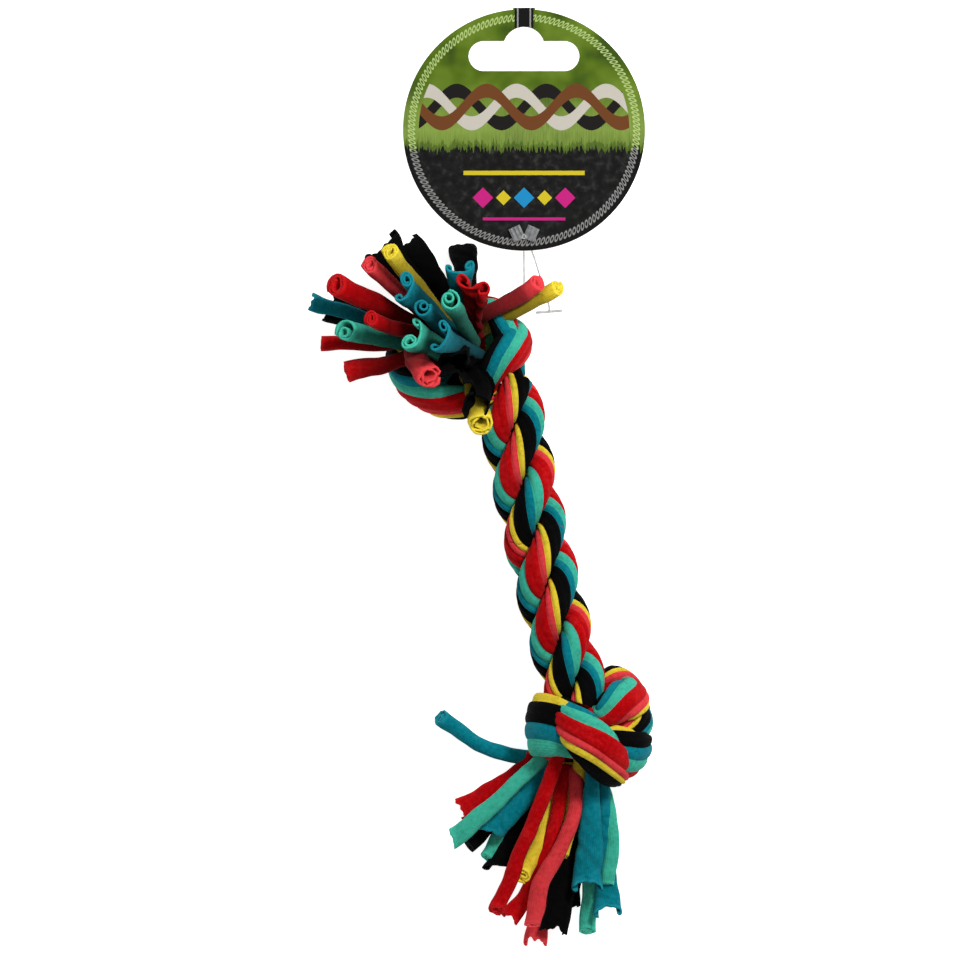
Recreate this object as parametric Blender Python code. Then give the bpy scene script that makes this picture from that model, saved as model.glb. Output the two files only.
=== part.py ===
# Stretch fabric tug toy: a short three-ply rope of rolled jersey strips with a knot and a fringe at each end,
# and a folded round card held to the upper fringe by two fine tagging pins.
# The toy lies flat as on a table: +Y is up the card, +X to the right, +Z up from the table, which is at Z = 0.
# The origin is on the table under the middle of the toy's outline.
import math

import bmesh
import bpy
import numpy as np
from mathutils import Matrix, Vector
from mathutils.bvhtree import BVHTree

MM = 0.001

# Scale of the picture that the places below were read from, worked out from the card's 32 mm hang slot.
PIXEL = 0.2893 * MM
MIDDLE_PX = (481.25, 478.5)

# Clearances
GAP = 0.3 * MM
CLEARANCE = 0.5 * MM
CARD_CLEARANCE = 2.0 * MM

# Rope body: three plies laid up right-handed, sagging a little between the knots.
ROPE_CHORD = 96.5 * MM
ROPE_BOW = 1.3 * MM
ROPE_SAG = 1.2 * MM
ROPE_HEIGHT = 15.8 * MM
ROPE_HEADING_DEG = -77.0
LAY_PITCH = 46.0 * MM
PLY_RADIUS = 3.75 * MM
PLY_HELIX_RADIUS = 4.9 * MM
PLY_NAMES = ("a", "b", "c")
ROPE_PHASE_DEG = 15.0
ROPE_START_PX = (505.0, 382.0)

# Knots: each ply is wound round the knot as a flattened band, whose size follows the knot's.
KNOT_RADIUS = 17.4 * MM
UPPER_KNOT_HEIGHT_SHARE = 0.8276
LOWER_KNOT_HEIGHT_SHARE = 0.8563
BAND_THICKNESS_SHARE = 0.3793
BAND_WIDTH_SHARE = 0.8908
UPPER_KNOT_HEIGHT = KNOT_RADIUS * UPPER_KNOT_HEIGHT_SHARE
LOWER_KNOT_HEIGHT = KNOT_RADIUS * LOWER_KNOT_HEIGHT_SHARE
BAND_THICKNESS = KNOT_RADIUS * BAND_THICKNESS_SHARE
BAND_WIDTH = KNOT_RADIUS * BAND_WIDTH_SHARE
UPPER_KNOT_PX = (457.0, 360.0)
LOWER_KNOT_PX = (587.5, 726.4)
LOWER_KNOT_FROM_ROPE_PX = (7.5, -19.4)

# Fringe strips, rolled jersey: one root disc at each end, from which the strips fan out.
STRIP_ROOT_RADIUS = 1.4 * MM
STRIP_THICKNESS = 3.6 * MM
ROOT_RINGS = {"outer": 8.1 * MM, "inner": 4.95 * MM, "core": 2.0 * MM}
ROOT_DEPTH = 8.0 * MM
THROAT_RADIUS = 9.9 * MM
UPPER_HUB_PX = (462.0, 342.0)
UPPER_HUB_HEIGHT_SHARE = 1.523
UPPER_HUB_HEIGHT = KNOT_RADIUS * UPPER_HUB_HEIGHT_SHARE
UPPER_AXIS_SHARES = (-0.22, 0.20, 0.95)
LOWER_HUB_PX = (573.0, 760.0)
LOWER_HUB_HEIGHT_SHARE = 0.6322
LOWER_HUB_HEIGHT = KNOT_RADIUS * LOWER_HUB_HEIGHT_SHARE
LOWER_AXIS_SHARES = (-0.20, -0.97, -0.10)

# Each strip: colour, ring, angle of its root in degrees, tip in picture pixels, height of the tip in shares of
# the knot's radius, width in shares of a strip's thickness, bulge of the middle in shares of the strip's length.
UPPER_STRIPS = (
    ("black_1", "outer", 128, (381, 247), 1.15, 2.0, (0, 0, 0.06)),
    ("black_2", "outer", 100, (413, 236), 1.00, 1.15, (0, 0, 0.05)),
    ("black_3", "outer", 176, (331, 306), 0.62, 1.6, (0, 0, 0.10)),
    ("black_4", "outer", 72, (463, 243), 0.16, 1.7, (0.10, 0, 0.12)),
    ("black_5", "outer", 318, (474, 398), 2.10, 2.0, (0.10, 0, 0.16)),
    ("yellow_1", "inner", 135, (388, 251), 1.95, 1.3, (0, 0, 0.06)),
    ("yellow_2", "outer", 12, (557, 291), 0.98, 1.15, (0, 0, 0.26)),
    ("yellow_3", "outer", 284, (482, 428), 2.02, 1.5, (0, 0, 0.20)),
    ("coral_1", "outer", 151, (368, 264), 1.62, 1.3, (0, 0, 0.06)),
    ("coral_2", "outer", 42, (537, 287), 1.25, 1.35, (0, 0, 0.24)),
    ("coral_3", "outer", 252, (433, 382), 2.35, 1.7, (0, 0, 0.14)),
    ("red_1", "inner", 168, (336, 286), 1.70, 1.7, (0, 0, 0.08)),
    ("red_2", "core", 200, (368, 321), 2.25, 1.15, (0, 0, 0.08)),
    ("red_3", "outer", 203, (322, 343), 0.85, 1.05, (0, -0.08, 0.12)),
    ("red_4", "outer", 230, (347, 373), 1.15, 1.5, (0, -0.06, 0.14)),
    ("red_5", "inner", 58, (473, 283), 2.00, 1.5, (0.10, 0, 0.06)),
    ("teal_1", "inner", 196, (312, 301), 0.95, 1.0, (0, 0, 0.10)),
    ("teal_2", "core", 130, (401, 286), 2.15, 1.9, (0, 0, 0.04)),
    ("teal_3", "core", 290, (420, 309), 2.60, 1.35, (0, 0, 0.02)),
    ("teal_4", "inner", 325, (438, 338), 2.95, 1.7, (0, 0, 0.02)),
    ("teal_5", "inner", 98, (459, 267), 1.70, 1.8, (0, 0, 0.06)),
    ("mint_1", "inner", 240, (344, 331), 1.55, 1.35, (0, 0, 0.10)),
    ("mint_2", "core", 40, (449, 299), 2.85, 1.45, (0, 0, 0.02)),
    ("mint_3", "inner", 280, (409, 335), 2.50, 1.7, (0, 0, 0.04)),
)
LOWER_STRIPS = (
    ("teal_1", "outer", 180, (443, 719), 0.24, 1.2, (0.04, -0.10, 0.0)),
    ("teal_2", "inner", 205, (485, 829), 0.50, 1.6, (0, 0, 0.0)),
    ("teal_3", "outer", 52, (588, 888), 0.60, 2.2, (0, 0, 0.06)),
    ("teal_4", "outer", 24, (607, 913), 0.30, 1.9, (0.06, 0, 0.08)),
    ("mint_1", "outer", 148, (452, 838), 0.55, 1.5, (0, 0, 0.12)),
    ("mint_2", "inner", 168, (492, 853), 0.10, 1.1, (0, 0, 0.06)),
    ("mint_3", "outer", 355, (609, 879), 0.15, 1.2, (0.10, 0, 0.02)),
    ("mint_4", "outer", 325, (587, 931), 0.15, 1.3, (0.05, 0, 0.0)),
    ("red_1", "outer", 208, (470, 806), 0.15, 1.5, (0, 0, 0.0)),
    ("red_2", "outer", 116, (496, 909), 0.75, 1.25, (0.02, 0, 0.08)),
    ("red_3", "inner", 66, (511, 916), 0.34, 1.35, (0.04, 0, 0.06)),
    ("red_4", "inner", 10, (600, 842), 0.34, 1.2, (0, 0, 0.0)),
    ("coral_1", "outer", 84, (530, 925), 0.72, 1.45, (0.10, 0, 0.08)),
    ("coral_2", "outer", 266, (536, 941), 0.12, 1.7, (0, 0, 0.0)),
    ("yellow_1", "inner", 104, (521, 875), 0.62, 1.15, (0.02, 0, 0.06)),
    ("yellow_2", "core", 0, (562, 855), 0.50, 1.1, (0, 0, 0.06)),
    ("black_1", "outer", 236, (469, 846), 0.12, 1.1, (0, 0, 0.0)),
    ("black_2", "inner", 248, (505, 867), 0.16, 2.2, (0, 0, 0.0)),
    ("black_3", "inner", 290, (555, 930), 0.38, 1.9, (0.04, 0, 0.0)),
    ("black_4", "outer", 296, (574, 908), 0.12, 1.4, (0.02, 0, 0.0)),
)

# Knot bands: points of each ply's route in shares of the knot's radius from the knot's middle, X right, Y up the
# card and Z towards the eye, with the band's width there in shares of its full width.
LOWER_BANDS = {
    "a": (
        ((0.10, 0.30, 0.30), 0.55), ((0.22, 0.22, 0.62), 0.72), ((0.52, 0.42, 0.60), 0.80),
        ((0.76, 0.54, 0.10), 0.75), ((0.50, 0.55, -0.48), 0.65), ((-0.05, 0.52, -0.66), 0.60),
        ((-0.55, 0.50, -0.36), 0.65), ((-0.60, 0.44, 0.24), 0.72), ((-0.36, 0.26, 0.70), 0.92),
        ((0.02, -0.02, 0.84), 1.00), ((0.38, -0.40, 0.66), 0.96), ((0.58, -0.66, 0.22), 0.78),
        ((0.42, -0.66, -0.24), 0.60), ((0.16, -0.52, -0.30), 0.50),
    ),
    "b": (
        ((0.05, 0.30, -0.20), 0.55), ((0.10, 0.20, -0.62), 0.60), ((-0.40, 0.06, -0.66), 0.70),
        ((-0.78, 0.00, -0.20), 0.85), ((-0.74, -0.04, 0.30), 0.90), ((-0.42, -0.10, 0.52), 0.80),
        ((-0.05, -0.18, 0.50), 0.66), ((0.34, -0.24, 0.52), 0.75), ((0.72, -0.36, 0.34), 0.88),
        ((0.82, -0.36, -0.14), 0.85), ((0.44, -0.36, -0.62), 0.70), ((-0.10, -0.40, -0.64), 0.65),
        ((-0.46, -0.40, -0.40), 0.55), ((-0.34, -0.34, -0.10), 0.45),
    ),
    "c": (
        ((0.20, 0.55, -0.10), 0.50), ((0.40, 0.80, -0.16), 0.60), ((0.66, 0.66, -0.40), 0.60),
        ((0.82, 0.24, -0.42), 0.60), ((0.84, 0.06, 0.06), 0.62), ((0.56, -0.02, 0.34), 0.55),
        ((0.26, -0.06, 0.20), 0.50), ((0.12, -0.26, 0.02), 0.45),
    ),
}
UPPER_BANDS = {
    "a": (
        ((0.80, -0.60, 0.02), 0.55), ((1.02, -0.30, 0.18), 0.80), ((1.00, 0.06, 0.34), 0.90),
        ((0.82, 0.30, 0.34), 0.75), ((0.64, 0.36, -0.06), 0.50), ((0.56, 0.20, -0.46), 0.55),
        ((0.46, -0.10, -0.62), 0.80), ((0.24, -0.34, -0.60), 0.90),
    ),
    "b": (
        ((0.72, -0.56, -0.30), 0.55), ((0.88, -0.10, -0.44), 0.75), ((0.90, 0.34, -0.26), 0.80),
        ((0.80, 0.62, 0.10), 0.72), ((0.34, 0.80, 0.02), 0.60), ((-0.18, 0.70, -0.08), 0.60),
        ((-0.60, 0.46, -0.16), 0.60), ((-0.60, 0.22, -0.52), 0.60), ((-0.24, 0.06, -0.66), 0.90),
        ((0.26, -0.04, -0.56), 1.00),
    ),
    "c": (
        ((0.56, -0.62, 0.30), 0.60), ((0.16, -0.76, 0.48), 0.85), ((-0.34, -0.68, 0.46), 0.95),
        ((-0.80, -0.36, 0.26), 1.00), ((-0.96, 0.06, -0.06), 0.95), ((-0.66, -0.20, -0.50), 0.80),
        ((-0.20, -0.40, -0.58), 0.90), ((0.24, -0.30, -0.50), 0.90),
    ),
}

# Card: two round panels joined by a short fold at the top, tilted where it rests on the black strip.
CARD_RADIUS = 35.0 * MM
CARD_THICKNESS = 0.4 * MM
CARD_SPACE = 0.5 * MM
CARD_MIDDLE_PX = (524.0, 130.3)
CARD_REST_HEIGHT = 0.5 * MM
CARD_TILT_DEG = 2.6
FOLD_WIDTH = 6.4 * MM
SLOT_WIDTH = 32.0 * MM
SLOT_HEIGHT = 8.7 * MM
SLOT_FROM_TOP = 13.6 * MM
SLOT_BUMP_RADIUS = 6.0 * MM
SLOT_BUMP_RISE = 4.1 * MM
PIN_HOLE_RADIUS = 1.5 * MM
PIN_HOLE_FROM_RIM = 4.1 * MM
SLOT_MIDDLE = CARD_RADIUS - SLOT_FROM_TOP
PIN_HOLE_DROP = CARD_RADIUS - PIN_HOLE_FROM_RIM
FOLD_OVERLAP = 1.2 * MM
FOLD_INSET = 0.1 * MM

# Tagging pins: a ribbed paddle, a filament and a cross bar, each pin one moulding.
PADDLE_WIDTH = 3.8 * MM
PADDLE_LENGTH = 4.4 * MM
PADDLE_THICKNESS = 0.7 * MM
FILAMENT_RADIUS = 0.25 * MM
BAR_RADIUS = 0.4 * MM
BAR_LENGTH = 7.8 * MM
RIB_WIDTH = 0.5 * MM
RIB_RISE = 0.3 * MM
RIB_SINK = 0.1 * MM
PADDLE_FOOT = 0.5 * MM
PADDLE_EDGE = 0.35 * MM
PADDLE_LEAN_DEG = 24.0
FILAMENT_SPREAD = 0.6 * MM
FILAMENT_HEIGHT = 2.9 * MM
PIERCE_RUN = 1.2 * MM
PIERCE_CLEARANCE = 0.45 * MM
APPROACH_RUN = 1.6 * MM
APPROACH_DROP = 1.6 * MM
LEFT_BAR_DROP = 0.6 * MM
LEFT_LEAVE_PX = (523.8, 252.0)
RIGHT_LEAVE_PX = (532.1, 252.0)
LEFT_PIERCE_X_PX = 523.5
RIGHT_PIERCE_X_PX = 545.0
RIGHT_BAR_PX = (548.7, 312.4)
BAR_SLOPE_SHARE = 0.078

# Counts and shares of the meshes
FILAMENT_RINGS = 16
BAR_RINGS = 4
BAND_BALL_SHARES = (-0.9, -0.45, 0.0, 0.45, 0.9)
THROAT_SIDES = 24
SECTION_SIDES = {"ply": 8, "band": 10, "strip": 6, "fine": 6}
PLY_RINGS = 36
BAND_RINGS = 24
STRIP_RINGS = 9
DENSE_STEPS = 24
END_TAPER_RINGS = 3
END_SHARE = 0.55
LEAD_SHARE = 0.33
FULL_WIDTH_RING = 5
PINNED_RINGS = 1
CARD_STEPS = 48
SLOT_END_STEPS = 8
PIN_HOLE_STEPS = 12
FOLD_STEPS = 6
HALF = 0.5

# How the strips are parted: passes, and the share of each overlap that one pass takes away.
CLEARING_PASSES = 700
LAST_PASSES = 350
SIDE_REFRESH = 12
PUSH_SHARE = 0.30
SMOOTH_SHARE = 0.06
ACROSS_SHARES = (-1.0, 0.0, 1.0)
MAX_STEP = 0.5 * MM
FLOOR_GAP = 0.02 * MM
NEAR = 2.5 * MM
WELD = 0.01 * MM
SKY = 1000.0 * MM

SMOOTH_ANGLE_DEG = 50.0
FABRIC_ROUGHNESS = 0.85
CARD_ROUGHNESS = 0.45
PIN_ROUGHNESS = 0.35

FABRIC_COLOURS = {
    "red": (0.58, 0.005, 0.010), "coral": (0.75, 0.045, 0.075), "yellow": (0.76, 0.62, 0.03),
    "mint": (0.06, 0.56, 0.38), "teal": (0.005, 0.24, 0.31), "black": (0.004, 0.004, 0.004),
}
PLY_COLOUR = (0.35, 0.12, 0.10)
CARD_COLOUR = (0.10, 0.22, 0.03)
PIN_COLOUR = (0.75, 0.77, 0.78)


def place(pixel, height):
    """Returns the point under a pixel of the picture, at a height above the table."""
    return Vector(((pixel[0] - MIDDLE_PX[0]) * PIXEL, (MIDDLE_PX[1] - pixel[1]) * PIXEL, height))


def smooth_curve(points, count):
    """Returns count points evenly spaced along a smooth curve through the given points."""
    pts = [np.array(p, dtype=float) for p in points]
    pts = [2 * pts[0] - pts[1]] + pts + [2 * pts[-1] - pts[-2]]
    dense = []
    steps = 12
    for k in range(1, len(pts) - 2):
        for s in range(steps):
            t = s / steps
            a, b, c, d = pts[k - 1], pts[k], pts[k + 1], pts[k + 2]
            dense.append(
                0.5 * (2 * b + (c - a) * t + (2 * a - 5 * b + 4 * c - d) * t * t
                       + (3 * b - 3 * c + d - a) * t ** 3)
            )
    dense.append(pts[-2])
    return evenly(np.array(dense), count)


def evenly(line, count):
    """Returns count points evenly spaced along a line of points; further columns are carried along."""
    steps = np.linalg.norm(np.diff(line[:, :3], axis=0), axis=1)
    along = np.concatenate(([0.0], np.cumsum(steps)))
    wanted = np.linspace(0.0, along[-1], count)
    return np.stack([np.interp(wanted, along, line[:, k]) for k in range(line.shape[1])], axis=1)


def tangents(line):
    """Returns the unit direction of a line at each of its points."""
    run = np.gradient(line, axis=0)
    return run / np.linalg.norm(run, axis=1)[:, None]


def carried_normals(line, first):
    """Returns normals that turn as little as possible along a line, from a first one."""
    heading = tangents(line)
    normals = []
    normal = np.array(first, dtype=float)
    for t in heading:
        normal = normal - t * normal.dot(t)
        normal = normal / np.linalg.norm(normal)
        normals.append(normal)
    return np.array(normals)


def radial_normals(line, middle):
    """Returns normals that point away from a middle point, square to the line."""
    heading = tangents(line)
    normals = []
    last = np.array((0.0, 0.0, 1.0))
    for p, t in zip(line, heading):
        out = p - middle
        out = out - t * out.dot(t)
        length = np.linalg.norm(out)
        out = out / length if length > GAP else last
        normals.append(out)
        last = out
    return np.array(normals)


def sweep(name, line, widths, thicknesses, normals, sides, heading=None):
    """Makes a closed tube of elliptical section along a line and returns its object."""
    mesh = bmesh.new()
    heading = tangents(line) if heading is None else heading
    rings = []
    for p, t, n, width, thick in zip(line, heading, normals, widths, thicknesses):
        side = np.cross(t, n)
        ring = []
        for k in range(sides):
            angle = 2 * math.pi * k / sides
            at = p + side * math.cos(angle) * width / 2 + n * math.sin(angle) * thick / 2
            ring.append(mesh.verts.new(at))
        rings.append(ring)
    for a, b in zip(rings, rings[1:]):
        for k in range(sides):
            mesh.faces.new((a[k], a[(k + 1) % sides], b[(k + 1) % sides], b[k]))
    mesh.faces.new(reversed(rings[0]))
    mesh.faces.new(rings[-1])
    bmesh.ops.recalc_face_normals(mesh, faces=mesh.faces)
    return make_object(name, mesh)


def make_object(name, mesh):
    """Returns a new object that holds a mesh."""
    data = bpy.data.meshes.new(name)
    mesh.to_mesh(data)
    mesh.free()
    thing = bpy.data.objects.new(name, data)
    bpy.context.scene.collection.objects.link(thing)
    return thing


def replace_mesh(thing, mesh):
    """Gives an object a new mesh in place of its old one."""
    old = thing.data
    mesh.to_mesh(old)
    mesh.free()


def cut_away(thing, cutters):
    """Cuts each of the given objects out of a thing, and keeps the largest body that is left."""
    for cutter in cutters:
        cutter.hide_render = True
        cutter.display_type = "WIRE"
        cut = thing.modifiers.new("cut", "BOOLEAN")
        cut.operation = "DIFFERENCE"
        cut.solver = "MANIFOLD"
        cut.object = cutter
        settle(thing)
    keep_largest(thing)


def join_onto(thing, additions):
    """Unites each of the given objects with a thing and removes them."""
    for addition in additions:
        union = thing.modifiers.new("join", "BOOLEAN")
        union.operation = "UNION"
        union.solver = "EXACT"
        union.object = addition
        settle(thing)
        bpy.data.objects.remove(addition, do_unlink=True)


def settle(thing):
    """Applies an object's modifiers to its mesh."""
    bpy.context.view_layer.update()
    evaluated = thing.evaluated_get(bpy.context.evaluated_depsgraph_get())
    data = bpy.data.meshes.new_from_object(evaluated)
    old = thing.data
    thing.modifiers.clear()
    thing.data = data
    data.name = thing.name
    bpy.data.meshes.remove(old)


def keep_largest(thing):
    """Drops the crumbs that a cut leaves beside a body."""
    mesh = bmesh.new()
    mesh.from_mesh(thing.data)
    bmesh.ops.remove_doubles(mesh, verts=mesh.verts, dist=WELD)
    bmesh.ops.dissolve_degenerate(mesh, edges=mesh.edges, dist=WELD)
    loose = [edge for edge in mesh.edges if not edge.link_faces]
    bmesh.ops.delete(mesh, geom=loose, context="EDGES")
    left = set(mesh.verts)
    groups = []
    while left:
        group = [left.pop()]
        for vert in group:
            for edge in vert.link_edges:
                other = edge.other_vert(vert)
                if other in left:
                    left.remove(other)
                    group.append(other)
        groups.append(group)
    groups.sort(key=len, reverse=True)
    for group in groups[1:]:
        bmesh.ops.delete(mesh, geom=group, context="VERTS")
    replace_mesh(thing, mesh)


def paint(thing, colour, roughness):
    """Gives an object its own Principled material and smooth shading between its hard edges."""
    thing.data.shade_smooth()
    thing.data.set_sharp_from_angle(angle=math.radians(SMOOTH_ANGLE_DEG))
    material = bpy.data.materials.new(thing.name)
    material.use_nodes = True
    shader = material.node_tree.nodes["Principled BSDF"]
    shader.inputs["Base Color"].default_value = (*colour, 1.0)
    shader.inputs["Roughness"].default_value = roughness
    shader.inputs["Metallic"].default_value = 0.0
    thing.data.materials.clear()
    thing.data.materials.append(material)


def rope_route():
    """Returns the rope's middle line: a straight chord with a slight bow to the left and a sag."""
    start = place(ROPE_START_PX, ROPE_HEIGHT)
    heading = math.radians(ROPE_HEADING_DEG)
    along = Vector((math.cos(heading), math.sin(heading), 0))
    across = Vector((along.y, -along.x, 0))
    points = []
    for k in range(PLY_RINGS):
        t = k / (PLY_RINGS - 1)
        belly = 4 * t * (1 - t)
        at = start + along * ROPE_CHORD * t + across * ROPE_BOW * belly
        points.append((at.x, at.y, at.z - ROPE_SAG * belly))
    return np.array(points)


def ply_route(middle, index):
    """Returns the helix of one ply about the rope's middle line."""
    heading = tangents(middle)
    steps = np.linalg.norm(np.diff(middle, axis=0), axis=1)
    along = np.concatenate(([0.0], np.cumsum(steps)))
    first = carried_normals(middle, (0, 0, 1))
    points = []
    for p, t, n, s in zip(middle, heading, first, along):
        side = np.cross(t, n)
        angle = math.radians(ROPE_PHASE_DEG) - 2 * math.pi * (s / LAY_PITCH + index / len(PLY_NAMES))
        points.append(p + (side * math.cos(angle) + n * math.sin(angle)) * PLY_HELIX_RADIUS)
    return np.array(points)


def rope_plies(middle):
    """Makes the rope's three plies and returns them with the routes they follow."""
    plies = []
    for index, letter in enumerate(PLY_NAMES):
        route = ply_route(middle, index)
        size = [2 * PLY_RADIUS] * len(route)
        normals = carried_normals(route, (0, 0, 1))
        ply = sweep(f"rope_ply_{letter}", route, size, size, normals, SECTION_SIDES["ply"])
        paint(ply, PLY_COLOUR, FABRIC_ROUGHNESS)
        plies.append((ply, route))
    return plies


def swollen(name, route, widths, thicknesses, normals, sides, heading=None):
    """Makes a tube larger than the given one by the clearance all round, to cut with."""
    heading = tangents(route) if heading is None else heading
    wider = np.array(widths) + 2 * GAP
    thicker = np.array(thicknesses) + 2 * GAP
    longer = np.array(route)
    longer[0] = longer[0] - heading[0] * GAP
    longer[-1] = longer[-1] + heading[-1] * GAP
    cutter = sweep(name, longer, wider, thicker, normals, sides, heading)
    cutter.hide_render = True
    cutter.display_type = "WIRE"
    return cutter


def hull_of(thing):
    """Wraps an object in its convex hull, so that a tight turn of a band still makes a sound cutter."""
    mesh = bmesh.new()
    mesh.from_mesh(thing.data)
    hull = bmesh.ops.convex_hull(mesh, input=mesh.verts)
    spare = [g for g in hull["geom_interior"] + hull["geom_unused"] if isinstance(g, bmesh.types.BMVert)]
    bmesh.ops.delete(mesh, geom=spare, context="VERTS")
    bmesh.ops.delete(mesh, geom=[f for f in mesh.faces if f not in set(hull["geom"])], context="FACES_ONLY")
    bmesh.ops.recalc_face_normals(mesh, faces=mesh.faces)
    replace_mesh(thing, mesh)
    return thing


def knot_bands(prefix, bands, middle, rope_cutters, throat):
    """Makes a knot's three bands, each cut by the rope, the throat and the bands outside it."""
    middle = np.array(middle)
    cutters = list(rope_cutters)
    made = []
    for letter, keys in bands.items():
        line = [np.append(np.array(at) * KNOT_RADIUS + middle, share) for at, share in keys]
        route4 = smooth_curve(line, BAND_RINGS)
        route, shares = route4[:, :3], route4[:, 3]
        ends = np.minimum(1.0, np.minimum(np.arange(BAND_RINGS), np.arange(BAND_RINGS)[::-1]) / END_TAPER_RINGS)
        widths = np.maximum(BAND_WIDTH * shares, BAND_THICKNESS) * (END_SHARE + (1 - END_SHARE) * ends)
        thick = np.full(BAND_RINGS, BAND_THICKNESS) * (END_SHARE + (1 - END_SHARE) * ends)
        normals = radial_normals(route, middle)
        band = sweep(f"{prefix}_knot_ply_{letter}", route, widths, thick, normals, SECTION_SIDES["band"])
        cut_away(band, cutters + [throat])
        paint(band, PLY_COLOUR, FABRIC_ROUGHNESS)
        for start in range(BAND_RINGS - 1):
            part = slice(start, start + 2)
            cutters.append(
                hull_of(swollen(f"{prefix}_{letter}_cutter", route[part], widths[part], thick[part],
                                normals[part], SECTION_SIDES["band"], tangents(route)[part]))
            )
        made.append((band, route, widths, thick, normals))
    return made, cutters


def strip_routes(strips, hub, axis, spot):
    """Returns each strip's first route, from its root in the disc about the hub to its tip."""
    axis = np.array(axis)
    right = np.cross((0.0, 1.0, 0.0) if abs(axis[1]) < HALF else (0.0, 0.0, 1.0), axis)
    right = right / np.linalg.norm(right)
    up = np.cross(axis, right)
    routes = []
    for name, ring, angle, tip_px, height, width, bulge in strips:
        turn = math.radians(angle)
        root = hub + (right * math.cos(turn) + up * math.sin(turn)) * ROOT_RINGS[ring]
        start = root - axis * ROOT_DEPTH
        tip = np.array(spot(tip_px, height * KNOT_RADIUS))
        reach = np.linalg.norm(tip - root)
        lead = root + axis * reach * LEAD_SHARE
        back = tip - (tip - lead) / np.linalg.norm(tip - lead) * reach * LEAD_SHARE
        back = back + np.array(bulge) * reach
        curve = []
        for k in range(DENSE_STEPS + 1):
            t = k / DENSE_STEPS
            curve.append(root * (1 - t) ** 3 + 3 * lead * t * (1 - t) ** 2 + 3 * back * t * t * (1 - t) + tip * t ** 3)
        routes.append(evenly(np.array([start] + curve), STRIP_RINGS))
    return routes


def strip_sizes(strips):
    """Returns each strip's widths and thicknesses, thin at the root and full further out."""
    sizes = []
    for _, _, _, _, _, width, _ in strips:
        grow = np.clip((np.arange(STRIP_RINGS) - 1) / FULL_WIDTH_RING, 0.0, 1.0)
        wide = 2 * STRIP_ROOT_RADIUS + (STRIP_THICKNESS * width - 2 * STRIP_ROOT_RADIUS) * grow
        thick = 2 * STRIP_ROOT_RADIUS + (STRIP_THICKNESS / math.sqrt(width) - 2 * STRIP_ROOT_RADIUS) * grow
        sizes.append((wide, thick))
    return sizes


def strip_normals(route):
    """Returns a strip's flat side: it faces up where the strip lies, and away from the card where it stands."""
    return carried_normals(route[::-1], (0.0, 0.25, 1.0))[::-1]


def part_strips(routes, sizes, solid, hub, axis, ceiling):
    """Moves the strips' routes apart until they clear each other, the solid balls given and the table."""
    count = len(routes)
    lines = np.array(routes)
    wide = np.array([s[0] for s in sizes])
    thick = np.array([s[1] for s in sizes])
    owner = np.repeat(np.arange(count), STRIP_RINGS * len(ACROSS_SHARES))
    ring = np.tile(np.repeat(np.arange(STRIP_RINGS), len(ACROSS_SHARES)), count)
    share = np.tile(ACROSS_SHARES, count * STRIP_RINGS)
    radius = thick[owner, ring] / 2
    reach = np.maximum(wide[owner, ring] - thick[owner, ring], 0.0) / 2
    solid_at = np.array([s[0] for s in solid])
    solid_radius = np.array([s[1] for s in solid])
    axis = np.array(axis)
    for turn in range(CLEARING_PASSES):
        if turn % SIDE_REFRESH == 0:
            sides = np.array([np.cross(tangents(line), strip_normals(line)) for line in lines])
        balls = lines[owner, ring] + sides[owner, ring] * (share * reach)[:, None]
        if turn % SIDE_REFRESH == 0:
            far = np.linalg.norm(balls[:, None, :] - balls[None, :, :], axis=2)
            near = far < radius[:, None] + radius[None, :] + CLEARANCE + NEAR
            one, two = np.nonzero(near & (owner[:, None] != owner[None, :]))
            far = np.linalg.norm(balls[:, None, :] - solid_at[None, :, :], axis=2)
            ball, block = np.nonzero(far < radius[:, None] + solid_radius[None, :] + CLEARANCE + NEAR)
        push = np.zeros_like(balls)
        between = balls[one] - balls[two]
        far = np.linalg.norm(between, axis=1)
        short = np.maximum(radius[one] + radius[two] + CLEARANCE - far, 0.0)
        np.add.at(push, one, between * (short / np.maximum(far, WELD))[:, None] / 2)
        from_axis = balls - hub - np.outer((balls - hub).dot(axis), axis)
        free = np.linalg.norm(from_axis, axis=1) + radius > THROAT_RADIUS - GAP
        between = balls[ball] - solid_at[block]
        far = np.linalg.norm(between, axis=1)
        short = np.maximum(radius[ball] + solid_radius[block] + CLEARANCE - far, 0.0) * free[ball]
        np.add.at(push, ball, between * (short / np.maximum(far, WELD))[:, None] * HALF)
        push[:, 2] += np.maximum(radius + FLOOR_GAP - balls[:, 2], 0.0)
        push[:, 2] -= np.maximum(balls[:, 2] + radius - ceiling(balls), 0.0)
        step = np.zeros_like(lines)
        np.add.at(step, (owner, ring), push * PUSH_SHARE)
        length = np.linalg.norm(step, axis=2, keepdims=True)
        step = step * np.minimum(1.0, MAX_STEP / np.maximum(length, WELD))
        step[:, :PINNED_RINGS] = 0.0
        lines = lines + step
        if turn < CLEARING_PASSES - LAST_PASSES:
            smooth = np.zeros_like(lines)
            smooth[:, 1:-1] = ((lines[:, :-2] + lines[:, 2:]) / 2 - lines[:, 1:-1]) * SMOOTH_SHARE
            smooth[:, :PINNED_RINGS] = 0.0
            lines = lines + smooth
    return lines


def fringe(prefix, strips, routes, sizes):
    """Makes a fringe's strips along their routes."""
    made = {}
    for entry, route, (wide, thick) in zip(strips, routes, sizes):
        name = entry[0]
        strip = sweep(f"{prefix}_strip_{name}", route, wide, thick, strip_normals(route), SECTION_SIDES["strip"])
        paint(strip, FABRIC_COLOURS[name.split("_")[0]], FABRIC_ROUGHNESS)
        made[name] = (strip, route, wide, thick)
    return made


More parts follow.
